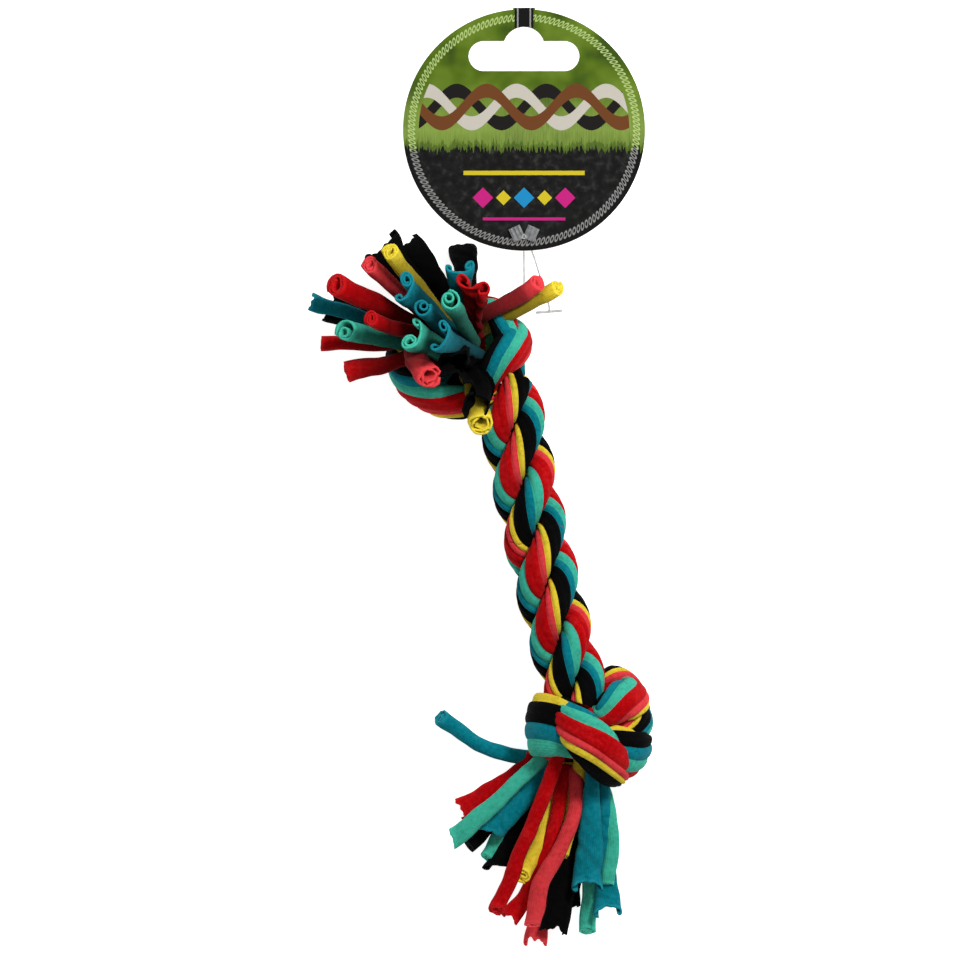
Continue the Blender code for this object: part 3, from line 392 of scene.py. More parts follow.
@dataclass(frozen=True)
class Jersey:
    """Matte knitted cotton: wales run along the strip and courses across it, with a faint heather, a painted
    highlight on the cut end and, where deep is set, painted shade towards the upper fringe's heart.
    """

    colour: Colour
    # Share of painted shade that darkens the strips towards the upper fringe's heart; none where it is 0.
    deep: float = 0.0
    wale: float = 0.62 * MM
    course: float = 0.5 * MM
    loop_share: float = 0.6
    stitch_share: float = 0.31
    fluff: tuple[float, float] = (1900.0, 3.0)
    fluff_share: float = 0.9
    heather: tuple[float, float] = (900.0, 2.0)
    patch: tuple[float, float] = (110.0, 2.0)
    shade_shares: tuple[float, float, float] = (0.55, 0.45, 0.10)
    # Tones of the dark and pale heather, then of the painted highlight on the cut end.
    tones: tuple[float, float, float] = (0.66, 1.12, 1.45)
    tone_stops: tuple[float, float, float] = (0.30, 0.50, 0.72)
    # Painted highlight: the last 1.3 mm of each strip, at its cut end, is lightened, with a touch of pale
    # loose fibres.
    end_highlight_run: float = 1.3 * MM
    end_highlight_fade: float = 0.75
    end_highlight_most: float = 0.8
    end_highlight_least_heather: float = 0.4
    # Painted shade: its middle, how far it reaches from there, and how it fades upwards and towards the tip.
    heart: tuple[float, float] = (-5.6 * MM, 39.5 * MM)
    heart_reach: float = 43.0 * MM
    heart_fade: float = 22.0 * MM
    painted_shade_tone: float = 0.1
    lit_height: float = 54.0 * MM
    lit_fade: float = 14.0 * MM
    lit_end: float = 1.0 * MM
    lit_end_fade: float = 5.0 * MM
    sheen: float = 0.03
    depth: float = 0.09 * MM

    def material(self) -> bpy.types.Material:
        """Builds the node material for this colour of jersey."""
        paint = Nodes(f"jersey_{self.colour.name.lower()}" + ("_deep" if self.deep else ""))
        across, along, _ = paint.split(paint.here("UV"))
        here = paint.here()
        wales = across * (1 / self.wale)
        rows = along * (1 / self.course) + abs(wales.do("FRACT") - 0.5)
        ridge, loop = ((value * FULL_TURN).do("SINE") for value in (wales, rows))
        stitch = (ridge + loop * self.loop_share) * self.stitch_share
        fluff, heather, patch = (paint.noise(here, *kind) for kind in (self.fluff, self.heather, self.patch))
        heather_share, patch_share, stitch_share = self.shade_shares
        # The stitch relief also darkens the colour a little in its hollows: painted shade; heather and patch
        # are the yarn's own uneven tone.
        shade = heather * heather_share + patch * patch_share + stitch * stitch_share
        # dark and pale are the heather's tones; cut is the tone of the painted highlight.
        dark, pale, cut = self.tones
        colours = (self.colour.toned(dark), self.colour.value, self.colour.toned(pale, fluffy=True))
        colour = paint.ramp(shade, list(zip(self.tone_stops, colours)))
        # Painted highlight: the cut end is lightened more towards the tip, with a touch of pale loose fibres.
        share = ((along + self.end_highlight_run) * (self.end_highlight_fade / self.end_highlight_run)).do("MAXIMUM", 0.0)
        share = (share * (heather + self.end_highlight_least_heather)).do("MINIMUM", self.end_highlight_most)
        colour = paint.mix(share, colour, self.colour.toned(cut, fluffy=True))
        # Painted shade: darker near the upper fringe's heart, low down and away from the tip.
        if self.deep:
            x, y, z = paint.split(here)
            off_x, off_y = x - self.heart[0], y - self.heart[1]
            far = (off_x * off_x + off_y * off_y).do("SQRT")
            down = self.deep
            for value, edge, fade in (
                (far, self.heart_reach, self.heart_fade), (z, self.lit_height, self.lit_fade),
                (along, -self.lit_end, self.lit_end_fade),
            ):
                down = ((edge - value) * (1 / fade)).within(0.0, 1.0) * down
            colour = paint.mix(down, colour, self.colour.toned(self.painted_shade_tone))
        values = {"Roughness": 0.95, "Sheen Weight": 0.0 if self.colour is Colour.BLACK else self.sheen,
                  "Sheen Roughness": 0.5, "Specular IOR Level": 0.05}
        return paint.finish(colour, values, stitch + fluff * self.fluff_share, self.depth, 0.75)


@dataclass(frozen=True)
class Wardrobe:
    """The six jersey materials, made once and shared."""

    cloths: dict[Colour, bpy.types.Material]

    @classmethod
    def stock(cls, deep: float = 0.0) -> "Wardrobe":
        """Makes all six; with a share given, painted shade darkens them towards the heart of the upper fringe
        by that share.
        """
        return cls({colour: Jersey(colour, deep).material() for colour in Colour})


def skin(name: str, rings: Line, widthways: Line, along: Line, slots: Sequence[int],
         caps: Sequence[Sequence[int]], materials: Sequence[bpy.types.Material]) -> bpy.types.Object:
    """Skins a row of closed rings into one smooth closed object at the origin.

    Args:
        name: The piece's name.
        rings: Array of rings by points by three.
        widthways: Distance round the ring at each point, with one more for the ring's close.
        along: Distance along the piece at each ring.
        slots: Material number for each stretch of the ring.
        caps: Faces that close an end, as point numbers within a ring.
        materials: The piece's materials.

    Returns:
        The new object.
    """
    number, around = rings.shape[:2]
    r, k = np.meshgrid(np.arange(number - 1), np.arange(around), indexing="ij")
    n = (k + 1) % around
    corners = ((r, k, k), (r + 1, k, k), (r + 1, n, k + 1), (r, n, k + 1))
    quads = np.stack([ring * around + point for ring, point, _ in corners], axis=-1)
    uvs = np.stack([np.stack([widthways[wide], along[ring]], -1) for ring, _, wide in corners], axis=-2)
    faces = quads.reshape(-1, 4).tolist()
    numbers = np.tile(slots, number - 1).tolist()
    last = (number - 1) * around
    cap_uvs = []
    for cap in caps:
        back = list(reversed(cap))
        faces += [list(cap), [last + c for c in back]]
        numbers += [slots[min(cap) % len(slots)]] * 2
        cap_uvs += [(widthways[c], along[0]) for c in cap] + [(widthways[c], along[-1]) for c in back]
    mesh = bpy.data.meshes.new(name)
    mesh.from_pydata(rings.reshape(-1, 3).tolist(), [], faces)
    layer = mesh.uv_layers.new(name="cloth")
    both = np.concatenate([uvs.reshape(-1, 2), np.array(cap_uvs)])
    layer.data.foreach_set("uv", both.astype(np.float32).ravel())
    for material in materials:
        mesh.materials.append(material)
    mesh.polygons.foreach_set("material_index", numbers)
    mesh.shade_smooth()
    shape = bmesh.new()
    shape.from_mesh(mesh)
    bmesh.ops.recalc_face_normals(shape, faces=shape.faces)
    shape.to_mesh(mesh)
    shape.free()
    piece = bpy.data.objects.new(name, mesh)
    bpy.context.scene.collection.objects.link(piece)
    return piece


@dataclass(frozen=True)
class Course:
    """How a ply runs, one row a point; facing says which part of the stripes' round is on the upper side."""

    route: Line
    widths: Line
    thicks: Line
    normals: Line
    facing: Line


COMMON_STRIPES = (
    (Colour.RED, 0.13), (Colour.RED, 0.12), (Colour.CORAL, 0.11), (Colour.YELLOW, 0.10),
    (Colour.BLACK, 0.13), (Colour.BLACK, 0.11), (Colour.TEAL, 0.13), (Colour.MINT, 0.17),
)
OWN_STRIPES = {"lower_b": (
    (Colour.RED, 0.12), (Colour.RED, 0.10), (Colour.CORAL, 0.12), (Colour.YELLOW, 0.10),
    (Colour.BLACK, 0.10), (Colour.BLACK, 0.10), (Colour.TEAL, 0.17), (Colour.MINT, 0.19),
)}


@dataclass(frozen=True)
class Bundle:
    """A ply: jersey strips side by side round a soft core, each a stripe with a groove on either side."""

    stripes: tuple[tuple[Colour, float], ...] = COMMON_STRIPES
    squeeze: float = 0.0
    points_each: int = 7
    groove: float = 0.13
    faint_groove: float = 0.05
    groove_power: float = 2.2
    swell: float = 0.018
    swell_waves_mm: tuple[float, ...] = (9, 17, 31)
    uncut: float = 1.0

    def build(self, name: str, course: Course, way: int, wardrobe: Wardrobe, seed: int) -> bpy.types.Object:
        """Makes the bundle along a course.

        Args:
            name: The piece's name.
            course: How it runs.
            way: 1 where the stripes run clockwise as seen along the route, -1 where they run the other way.
            wardrobe: The jersey materials.
            seed: Sets its unevenness.

        Returns:
            The new object.
        """
        colours = list(Colour)
        turns, lows, slots = [], [], []
        start = 0.0
        for number, (colour, share) in enumerate(self.stripes):
            before = self.stripes[number - 1][0]
            after = self.stripes[(number + 1) % len(self.stripes)][0]
            for k in range(self.points_each):
                x = k / self.points_each
                turns.append(start + share * x)
                depth = self.faint_groove if (before if x < 0.5 else after) is colour else self.groove
                lows.append(depth * abs(2 * x - 1) ** self.groove_power)
                slots.append(colours.index(colour))
            start += share
        turns = np.array(turns)
        along = lengths_along(course.route)
        off = turns[None, :] - course.facing[:, None]
        off = off - self.squeeze / FULL_TURN * np.sin(FULL_TURN * off)
        angle = FULL_TURN * (0.25 + way * off)
        reach = np.tile(1 - np.array(lows), (len(along), 1))
        for number in range(len(self.stripes)):
            own = slice(number * self.points_each, (number + 1) * self.points_each)
            swell = ripple(along, seed * 31 + number, self.swell_waves_mm) * self.swell
            reach[:, own] += swell[:, None] * np.sin(np.linspace(0, math.pi, self.points_each))[None, :]
        side = np.cross(tangents(course.route), course.normals)
        rings = (
            course.route[:, None, :]
            + side[:, None, :] * (np.cos(angle) * reach * course.widths[:, None] / 2)[:, :, None]
            + course.normals[:, None, :] * (np.sin(angle) * reach * course.thicks[:, None] / 2)[:, :, None]
        )
        rings[:, :, 2] = np.maximum(rings[:, :, 2], FLOOR_GAP)
        girth = math.pi * float(np.mean(course.widths) + np.mean(course.thicks)) / 2
        return skin(name, rings, np.append(turns, 1.0) * girth, along - self.uncut, slots,
                    [list(range(len(turns)))], [wardrobe.cloths[colour] for colour in colours])


@dataclass
class Rope:
    """The rope body: three plies laid up right-handed, with a slight bow and sag."""

    chord: float = 96.5 * MM
    bow: float = 1.3 * MM
    sag: float = 1.2 * MM
    height: float = 15.8 * MM
    heading_deg: float = -77.0
    pitch: float = 46.0 * MM
    ply_radius: float = 3.75 * MM
    helix_radius: float = 4.9 * MM
    fullness: float = 1.13
    phase_deg: float = 15.0
    start_px: tuple[float, float] = (505.0, 382.0)
    coarse: int = 36
    fine: int = 240
    split_share: float = 0.46
    stripe_turns: float = 2.0
    faces: dict[str, float] = field(default_factory=lambda: {"a": 0.75, "b": 0.37, "c": 0.30})
    end_turns: dict[str, float] = field(default_factory=lambda: {"a": -0.05, "b": 0.0, "c": 0.13})
    end_run: float = 0.16

    def middle(self, count: int) -> Line:
        """Returns the rope's middle line with a number of points."""
        start = place(self.start_px, self.height)
        heading = math.radians(self.heading_deg)
        way = Vector((math.cos(heading), math.sin(heading), 0))
        across = Vector((way.y, -way.x, 0))
        points = []
        for t in (k / (count - 1) for k in range(count)):
            belly = 4 * t * (1 - t)
            at = start + way * self.chord * t + across * self.bow * belly
            points.append((at.x, at.y, at.z - self.sag * belly))
        return np.array(points)

    def ply(self, index: int, count: int, radius: float) -> Line:
        """Returns one ply's helix with a number of points and a radius."""
        middle = self.middle(count)
        along = lengths_along(middle)
        points = []
        for p, t, n, s in zip(middle, tangents(middle), carried_normals(middle, UP), along):
            side = np.cross(t, n)
            angle = math.radians(self.phase_deg) - FULL_TURN * (s / self.pitch + index / len(self.faces))
            points.append(p + (side * math.cos(angle) + n * math.sin(angle)) * radius)
        return np.array(points)

    def solids(self) -> Balls:
        """Returns balls that fill the plies, for the strips to keep clear of."""
        routes = [self.ply(k, self.coarse, self.helix_radius) for k in range(len(self.faces))]
        return [(p, self.ply_radius) for route in routes for p in route]

    def build(self, wardrobe: Wardrobe) -> None:
        """Makes each ply in two lengths: one from the upper knot and one to the lower knot."""
        middle = self.middle(self.fine)
        cut = round(self.split_share * self.fine)
        thick = 2 * self.ply_radius * self.fullness
        for index, (letter, face) in enumerate(self.faces.items()):
            route = self.ply(index, self.fine, self.helix_radius * self.fullness)
            normals = np.array([UP - t * t.dot(UP) for t in tangents(route)])
            normals = normals / np.linalg.norm(normals, axis=1)[:, None]
            size = np.full(self.fine, thick)
            laid = lengths_along(middle) / self.pitch + index / len(self.faces) + (90 - self.phase_deg) / 360
            last = np.clip((np.linspace(0, 1, self.fine) - 1 + self.end_run) / self.end_run, 0.0, 1.0)
            facing = face - self.stripe_turns * laid + self.end_turns[letter] * last
            for part, own, bodies, far_end in (
                ("upper", slice(0, cut + 1), ("upper_end", "rope_mid"), "object"),
                ("lower", slice(cut, self.fine), ("rope_mid", "lower_end"), "knot"),
            ):
                name = f"ply_{letter}_{part}"
                course = Course(*(rows[own] for rows in (route, size, size, normals, facing)))
                piece = Bundle().build(name, course, 1, wardrobe, index)
                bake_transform(piece)
                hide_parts(f"rope_ply_{letter}")


@dataclass
class Knot:
    """A knot: each ply wound round it as a flattened band of stripes."""

    prefix: str
    middle: Line
    bands: dict[str, tuple[tuple[float, float, float, float, float], ...]]
    ways: dict[str, int] = field(default_factory=lambda: {"a": -1, "b": -1, "c": 1})
    radius: float = KNOT_RADIUS
    thickness: float = 6.6 * MM
    width: float = 15.5 * MM
    plump: float = 1.18
    squeeze: float = 0.5
    coarse: int = 24
    fine: int = 220
    taper_rings: int = 3
    end_share: float = 0.55
    ball_shares: tuple[float, ...] = (-0.9, -0.45, 0.0, 0.45, 0.9)

    def band(self, letter: str, count: int, plump: float = 1.0) -> Course:
        """Works out one band.

        Args:
            letter: The band's ply.
            count: How many points to give.
            plump: How much thicker it is drawn.

        Returns:
            Its course.
        """
        keys = np.array(self.bands[letter])
        curve = smooth_curve(np.hstack([keys[:, :3] * self.radius + self.middle, keys[:, 3:]]), count)
        step = np.arange(count) * (self.coarse - 1) / (count - 1)
        ends = np.minimum(1.0, np.minimum(step, step[::-1]) / self.taper_rings)
        taper = self.end_share + (1 - self.end_share) * ends
        widths = np.maximum(self.width * curve[:, 3], self.thickness) * taper
        thicks = np.full(count, self.thickness) * taper * plump
        return Course(curve[:, :3], widths, thicks, radial_normals(curve[:, :3], self.middle), curve[:, 4])

    def solids(self) -> Balls:
        """Returns balls that fill the bands, for the strips to keep clear of."""
        balls = []
        for letter in self.bands:
            course = self.band(letter, self.coarse)
            sides = np.cross(tangents(course.route), course.normals)
            for p, side, width, t in zip(course.route, sides, course.widths, course.thicks):
                balls += [(p + side * share * max(width - t, 0.0) / 2, t / 2) for share in self.ball_shares]
        return balls

    def build(self, wardrobe: Wardrobe) -> None:
        """Makes the bands."""
        for number, letter in enumerate(self.bands):
            stripes = OWN_STRIPES.get(f"{self.prefix}_{letter}", COMMON_STRIPES)
            piece = Bundle(stripes, self.squeeze).build(
                f"{self.prefix}_knot_band_{letter}", self.band(letter, self.fine, self.plump),
                self.ways[letter], wardrobe, number + 7)
            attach(piece, f"{self.prefix}_end")
            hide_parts(f"{self.prefix}_knot_ply_{letter}")
            LOG.info("%s knot, band %s", self.prefix, letter)


@dataclass(frozen=True)
class Curl:
    """One rolled edge of a strip: its turns, its side and its first radius in shares of the strip's width."""

    turns: float
    side: int
    share: float


@dataclass(frozen=True)
class Section:
    """The line that a rolled strip's cloth follows across its width."""

    cloth: float = 0.62 * MM
    spare: float = 0.10 * MM
    steps_a_turn: int = 14
    flat_steps: int = 5
    tightest: float = 0.7
    tube_height: float = 0.84
    tube_turns: float = 2.3
    tube_core: float = 0.45
    tube_seam: float = 0.35
    lump_waves: float = 2.6
    lump_least: float = 0.3
    spiral_turns: float = 1.9
    spiral_inner: float = 0.20
    spiral_shift: float = 0.30
    spiral_power: float = 0.85
    spiral_start: float = 0.30
    arch: float = 0.13
    curls: dict[Roll, tuple[Curl, Curl]] = field(default_factory=lambda: {
        Roll.SCROLL: (Curl(1.0, -1, 0.13), Curl(2.0, -1, 0.24)),
        Roll.HOOK: (Curl(0.75, -1, 0.12), Curl(1.35, -1, 0.17)),
        Roll.FLAT: (Curl(0.60, -1, 0.12), Curl(0.55, -1, 0.14)),
        Roll.BUNCH: (Curl(0.9, -1, 0.20), Curl(0.8, 1, 0.20)),
    })

    @property
    def pitch(self) -> float:
        """How much closer the cloth lies after each turn."""
        return self.cloth + self.spare

    def half(self, flat: float, radius: float, curl: Curl) -> list[tuple[float, float]]:
        """Draws the cloth from the strip's middle to one edge.

        Args:
            flat: Length of the flat stretch on this side.
            radius: Radius where the roll starts.
            curl: The roll.

        Returns:
            Points from the middle outwards.
        """
        points = [(flat * k / self.flat_steps, 0.0) for k in range(self.flat_steps + 1)]
        steps = max(3, round(curl.turns * self.steps_a_turn))
        turn = FULL_TURN * curl.turns / steps
        heading = 0.0
        x, y = points[-1]
        for step in range(steps):
            bend = max(radius - self.pitch * curl.turns * step / steps, self.tightest * self.cloth)
            middle = heading + curl.side * turn / 2
            x += math.cos(middle) * bend * turn
            y += math.sin(middle) * bend * turn
            heading += curl.side * turn
            points.append((x, y))
        return points

    def rolled(self, width: float, uneven: float, seed: int) -> list[tuple[float, float]]:
        """Draws cloth rolled up tight from one edge.

        Args:
            width: The roll's width.
            uneven: How far out of round it is.
            seed: Sets where it is out of round.

        Returns:
            Points from the outer edge, which is at the back, to the inner one.
        """
        wide, high = (width - self.cloth) / 2, (width * self.tube_height - self.cloth) / 2
        turns = min(self.tube_turns, (min(wide, high) - self.tube_core * self.cloth) / self.pitch)
        points = []
        for angle in np.linspace(0.0, turns * FULL_TURN, max(12, round(turns * self.steps_a_turn))):
            less = self.pitch * angle / FULL_TURN
            part = self.lump_least + (1 - self.lump_least) * angle / (FULL_TURN * turns)
            lump = 1 + uneven * math.sin(self.lump_waves * angle + seed) * part
            at = angle - self.tube_seam * FULL_TURN
            points.append(((wide - less) * math.cos(at) * lump, (high - less) * math.sin(at) * lump))
        return points

    def coiled(self, width: float) -> list[tuple[float, float]]:
        """Draws a loose coil that closes in towards one side, from its outer edge to its inner one."""
        reach = (width - self.cloth) / 2
        points = []
        for share in np.linspace(0.0, 1.0, round(self.spiral_turns * self.steps_a_turn) + 6):
            radius = reach * (1 - (1 - self.spiral_inner) * share ** self.spiral_power)
            at = FULL_TURN * (self.spiral_turns * share - self.spiral_start)
            shift = self.spiral_shift * reach * share
            points.append((radius * math.cos(at) - shift, radius * math.sin(at) - shift))
        return points

    def line(self, roll: Roll, width: float, uneven: float, seed: int) -> Line:
        """Draws the cloth's middle line across the whole strip.

        Args:
            roll: How the strip has rolled up.
            width: The rolled strip's width at its cut end.
            uneven: How far out of round it is.
            seed: Sets where it is out of round.

        Returns:
            Points from one edge to the other, centred on the strip.
        """
        if roll is Roll.TUBE:
            points = self.rolled(width, uneven, seed)
        elif roll is Roll.SPIRAL:
            points = self.coiled(width)
        else:
            left, right = self.curls[roll]
            flat = (width - self.cloth) * (1 - left.share - right.share) / 2
            one, two = (self.half(flat, curl.share * width, curl) for curl in (left, right))
            points = [(-x, y) for x, y in reversed(one)] + two[1:]
            points = [(x, y + self.arch * width * math.cos(math.pi * x / width)) for x, y in points]
        points = np.array(points)
        return points - (points.min(axis=0) + points.max(axis=0)) / 2


@dataclass(frozen=True)
class Strip:
    """One strip end: where its root and tip are, how it lies and how it has rolled up.

    Its height, and the third number of each stop that its route goes via, is in shares of the knot's radius.
    """

    name: str
    ring: str
    angle: float
    tip_px: tuple[float, float]
    height: float
    width: float
    bulge: tuple[float, float, float]
    roll: Roll = Roll.TUBE
    spin: float = 0.0
    slant: float = 0.5
    flare: float = 1.12
    ragged: float = 0.22 * MM
    crumple: float = 0.02
    lift: float = 0.0
    skew: float = 0.0
    full: float = 1.0
    uneven: float = 0.06
    mirror: bool = False
    via: tuple[tuple[float, float, float], ...] = ()

    @property
    def colour(self) -> Colour:
        """The strip's colour, from its name."""
        return Colour[self.name.split("_")[0].upper()]


@dataclass
class Fringe:
    """The loose strips at one end of the toy."""

    prefix: str
    strips: tuple[Strip, ...]
    hub: Line
    axis: Line
    spot: Callable[[Point, float], Vector]
    ceiling: Callable[[Line], Line]
    knot_radius: float = KNOT_RADIUS
    root_radius: float = 1.4 * MM
    thickness: float = 3.6 * MM
    rings: dict[str, float] = field(
        default_factory=lambda: {"outer": 8.1 * MM, "inner": 4.95 * MM, "core": 2.0 * MM})
    root_depth: float = 8.0 * MM
    throat_radius: float = 9.9 * MM
    lead_share: float = 0.33
    dense: int = 24
    coarse: int = 9
    fine: int = 84
    full_width_ring: int = 5
    ball_shares: tuple[float, ...] = (-1.0, 0.0, 1.0)
    passes: int = 700
    last_passes: int = 350
    refresh: int = 12
    push_share: float = 0.30
    smooth_share: float = 0.06
    pinned: int = 1
    max_step: float = 0.5 * MM
    near: float = 2.5 * MM
    end_length: float = 5.0 * MM
    flare_length: float = 14.0 * MM
    lift_run: float = 6.0 * MM
    root_size: float = 4.3 * MM
    plump: float = 1.15
    sway: float = 0.45 * MM
    sway_waves_mm: tuple[float, ...] = (15, 29)
    lump: float = 0.045
    lump_waves_mm: tuple[float, ...] = (6, 11, 23)
    twist: float = 0.12
    twist_waves_mm: tuple[float, ...] = (19, 43)
    crease_lean: float = 0.8
    crease_waves_mm: tuple[float, ...] = (4.7, 8.9)
    crease_sideways: float = 0.5
    sideways_waves_mm: tuple[float, ...] = (5.3, 9.7)
    rag_waves_mm: tuple[float, ...] = (2.3, 4.1, 7.3)
    least_cloth: float = 10 * MM

    def first_routes(self) -> Line:
        """Draws each strip from its root in the disc about the hub to its tip."""
        steep = abs(self.axis[1]) < 0.5
        right = np.cross((0.0, 1.0, 0.0) if steep else (0.0, 0.0, 1.0), self.axis)
        right = right / np.linalg.norm(right)
        up = np.cross(self.axis, right)
        routes = []
        for strip in self.strips:
            turn = math.radians(strip.angle)
            root = self.hub + (right * math.cos(turn) + up * math.sin(turn)) * self.rings[strip.ring]
            tip = np.array(self.spot(strip.tip_px, strip.height * self.knot_radius))
            reach = np.linalg.norm(tip - root)
            lead = root + self.axis * reach * self.lead_share
            back = tip - (tip - lead) / np.linalg.norm(tip - lead) * reach * self.lead_share
            back = back + np.array(strip.bulge) * reach
            curve = [root - self.axis * self.root_depth]
            for t in (k / self.dense for k in range(self.dense + 1)):
                start, end = root * (1 - t) ** 3, tip * t ** 3
                curve.append(start + 3 * lead * t * (1 - t) ** 2 + 3 * back * t * t * (1 - t) + end)
            routes.append(evenly(np.array(curve), self.coarse))
        return np.array(routes)

    def sizes(self) -> tuple[Line, Line]:
        """Returns the strips' widths and thicknesses, thin at the root and full further out."""
        grow = np.clip((np.arange(self.coarse) - 1) / self.full_width_ring, 0.0, 1.0)
        root = 2 * self.root_radius
        wide = [root + (self.thickness * s.width - root) * grow for s in self.strips]
        thick = [root + (self.thickness / math.sqrt(s.width) - root) * grow for s in self.strips]
        return np.array(wide), np.array(thick)

    def parted(self, solids: Balls) -> Line:
        """Moves the strips apart until they clear each other, the knot, the rope and the table.

        Args:
            solids: Balls that fill what the strips keep clear of.

        Returns:
            The strips' routes.
        """
        lines = self.first_routes()
        wide, thick = self.sizes()
        each = len(self.ball_shares)
        owner = np.repeat(np.arange(len(lines)), self.coarse * each)
        ring = np.tile(np.repeat(np.arange(self.coarse), each), len(lines))
        share = np.tile(self.ball_shares, len(lines) * self.coarse)
        radius = thick[owner, ring] / 2
        reach = np.maximum(wide[owner, ring] - thick[owner, ring], 0.0) / 2
        solid_at = np.array([s[0] for s in solids])
        solid_radius = np.array([s[1] for s in solids])
        for turn in range(self.passes):
            if turn % self.refresh == 0:
                sides = np.array([np.cross(tangents(line), strip_normals(line)) for line in lines])
            balls = lines[owner, ring] + sides[owner, ring] * (share * reach)[:, None]
            if turn % self.refresh == 0:
                far = np.linalg.norm(balls[:, None, :] - balls[None, :, :], axis=2)
                close = far < radius[:, None] + radius[None, :] + CLEARANCE + self.near
                one, two = np.nonzero(close & (owner[:, None] != owner[None, :]))
                far = np.linalg.norm(balls[:, None, :] - solid_at[None, :, :], axis=2)
                close = far < radius[:, None] + solid_radius[None, :] + CLEARANCE + self.near
                ball, block = np.nonzero(close)
            push = np.zeros_like(balls)
            np.add.at(push, one, shoved(balls[one], balls[two], radius[one] + radius[two]))
            from_axis = balls - self.hub - np.outer((balls - self.hub).dot(self.axis), self.axis)
            free = np.linalg.norm(from_axis, axis=1) + radius > self.throat_radius - GAP
            away = shoved(balls[ball], solid_at[block], radius[ball] + solid_radius[block])
            np.add.at(push, ball, away * free[ball][:, None])
            push[:, 2] += np.maximum(radius + FLOOR_GAP - balls[:, 2], 0.0)
            push[:, 2] -= np.maximum(balls[:, 2] + radius - self.ceiling(balls), 0.0)
            step = np.zeros_like(lines)
            np.add.at(step, (owner, ring), push * self.push_share)
            length = np.linalg.norm(step, axis=2, keepdims=True)
            step = step * np.minimum(1.0, self.max_step / np.maximum(length, TINY))
            step[:, :self.pinned] = 0.0
            lines = lines + step
            if turn < self.passes - self.last_passes:
                smooth = np.zeros_like(lines)
                smooth[:, 1:-1] = ((lines[:, :-2] + lines[:, 2:]) / 2 - lines[:, 1:-1]) * self.smooth_share
                smooth[:, :self.pinned] = 0.0
                lines = lines + smooth
        return lines

    def lifted(self, route: Line, normals: Line, angle: float) -> tuple[Line, Line, Line]:
        """Turns a strip's end up towards its face side.

        Args:
            route: Points of its middle line.
            normals: Its face side at each point.
            angle: How far the end turns.

        Returns:
            The new route, its directions and its normals.
        """
        along = lengths_along(route)
        turn = angle * np.clip((along - along[-1] + self.lift_run) / self.lift_run, 0.0, 1.0)[:, None]
        ways = tangents(route)
        heading = ways * np.cos(turn) + normals * np.sin(turn)
        start = int(np.argmax(turn[:, 0] != 0.0)) if angle else len(route)
        moved = route.copy()
        for k in range(max(start, 1), len(route)):
            step = heading[k - 1] + heading[k]
            moved[k] = moved[k - 1] + step / np.linalg.norm(step) * (along[k] - along[k - 1])
        return moved, heading, normals * np.cos(turn) - ways * np.sin(turn)

    def dress(self, number: int, strip: Strip, coarse: Line, wardrobe: Wardrobe) -> None:
        """Makes one strip of rolled jersey along its route.

        Args:
            number: The strip's number, which sets its unevenness.
            strip: The strip.
            coarse: Its coarse route, with its width and thickness at each point in two more columns.
            wardrobe: The jersey materials.
        """
        section = Section()
        seed = number * 17 + len(self.prefix) * 5
        curve = smooth_curve(coarse, self.fine)
        route, wide, thick = curve[:, :3], curve[:, 3] * strip.full, curve[:, 4] * strip.full
        wide, thick = np.maximum(wide, self.root_size), np.maximum(thick * self.plump, self.root_size)
        along = lengths_along(route)
        out_share = np.clip(along / along[-1], 0.0, 1.0)
        normals = strip_normals(route)
        sway = out_share * self.sway * ripple(along, seed, self.sway_waves_mm)
        route = route + np.cross(tangents(route), normals) * sway[:, None]
        route, heading, normals = self.lifted(route, normals, math.radians(strip.lift))
        sides = np.cross(heading, normals)
        line = section.line(strip.roll, float(wide[-1]) * strip.flare, strip.uneven, seed)
        line = line * (-1.0 if strip.mirror else 1.0, 1.0)
        run = np.gradient(line, axis=0)
        out = np.stack([-run[:, 1], run[:, 0]], axis=1) / np.linalg.norm(run, axis=1)[:, None]
        loop = np.concatenate([line + out * section.cloth / 2, (line - out * section.cloth / 2)[::-1]])
        broad, tall = (float(np.ptp(column)) for column in loop.T)
        opening = self.end_length + self.flare_length * (strip.flare - 1)
        to_end = np.clip(1 - (along[-1] - along) / opening, 0.0, 1.0)
        to_end = to_end * to_end * (3 - 2 * to_end)
        lumps = (1 + self.lump * ripple(along, seed + 4, self.lump_waves_mm))[:, None]
        x = loop[None, :, 0] * (wide / broad * (1 - to_end) + to_end)[:, None] * lumps
        y = loop[None, :, 1] * (np.minimum(thick / tall, 1.0) * (1 - to_end) + to_end)[:, None] * lumps
        crumple = strip.crumple * wide[:, None]
        crease_at = along[:, None] + loop[None, :, 0] * self.crease_lean
        y = y + crumple * ripple(crease_at, seed + 2, self.crease_waves_mm)
        x = x + crumple * self.crease_sideways * ripple(along, seed + 6, self.sideways_waves_mm)[:, None]
        spin = math.radians(strip.spin) * out_share ** 2
        spin = (spin + self.twist * ripple(along, seed + 1, self.twist_waves_mm))[:, None]
        over = sides * np.cos(spin) + normals * np.sin(spin)
        above = normals * np.cos(spin) - sides * np.sin(spin)
        offset = over[:, None, :] * x[:, :, None] + above[:, None, :] * y[:, :, None]
        cloth_along = np.concatenate([lengths_along(line), lengths_along(line)[::-1]])
        rag = strip.ragged * ripple(cloth_along, seed + 3, self.rag_waves_mm)
        cut = to_end[:, None] * (rag[None, :] - strip.slant * offset[:, :, 2] + strip.skew * x)
        rings = route[:, None, :] + offset + heading[:, None, :] * cut[:, :, None]
        rings[:, :, 2] = np.maximum(rings[:, :, 2], FLOOR_GAP)
        last = 2 * len(line) - 1
        caps = [(k, k + 1, last - 1 - k, last - k) for k in range(len(line) - 1)]
        name = f"{self.prefix}_jersey_{strip.name}"
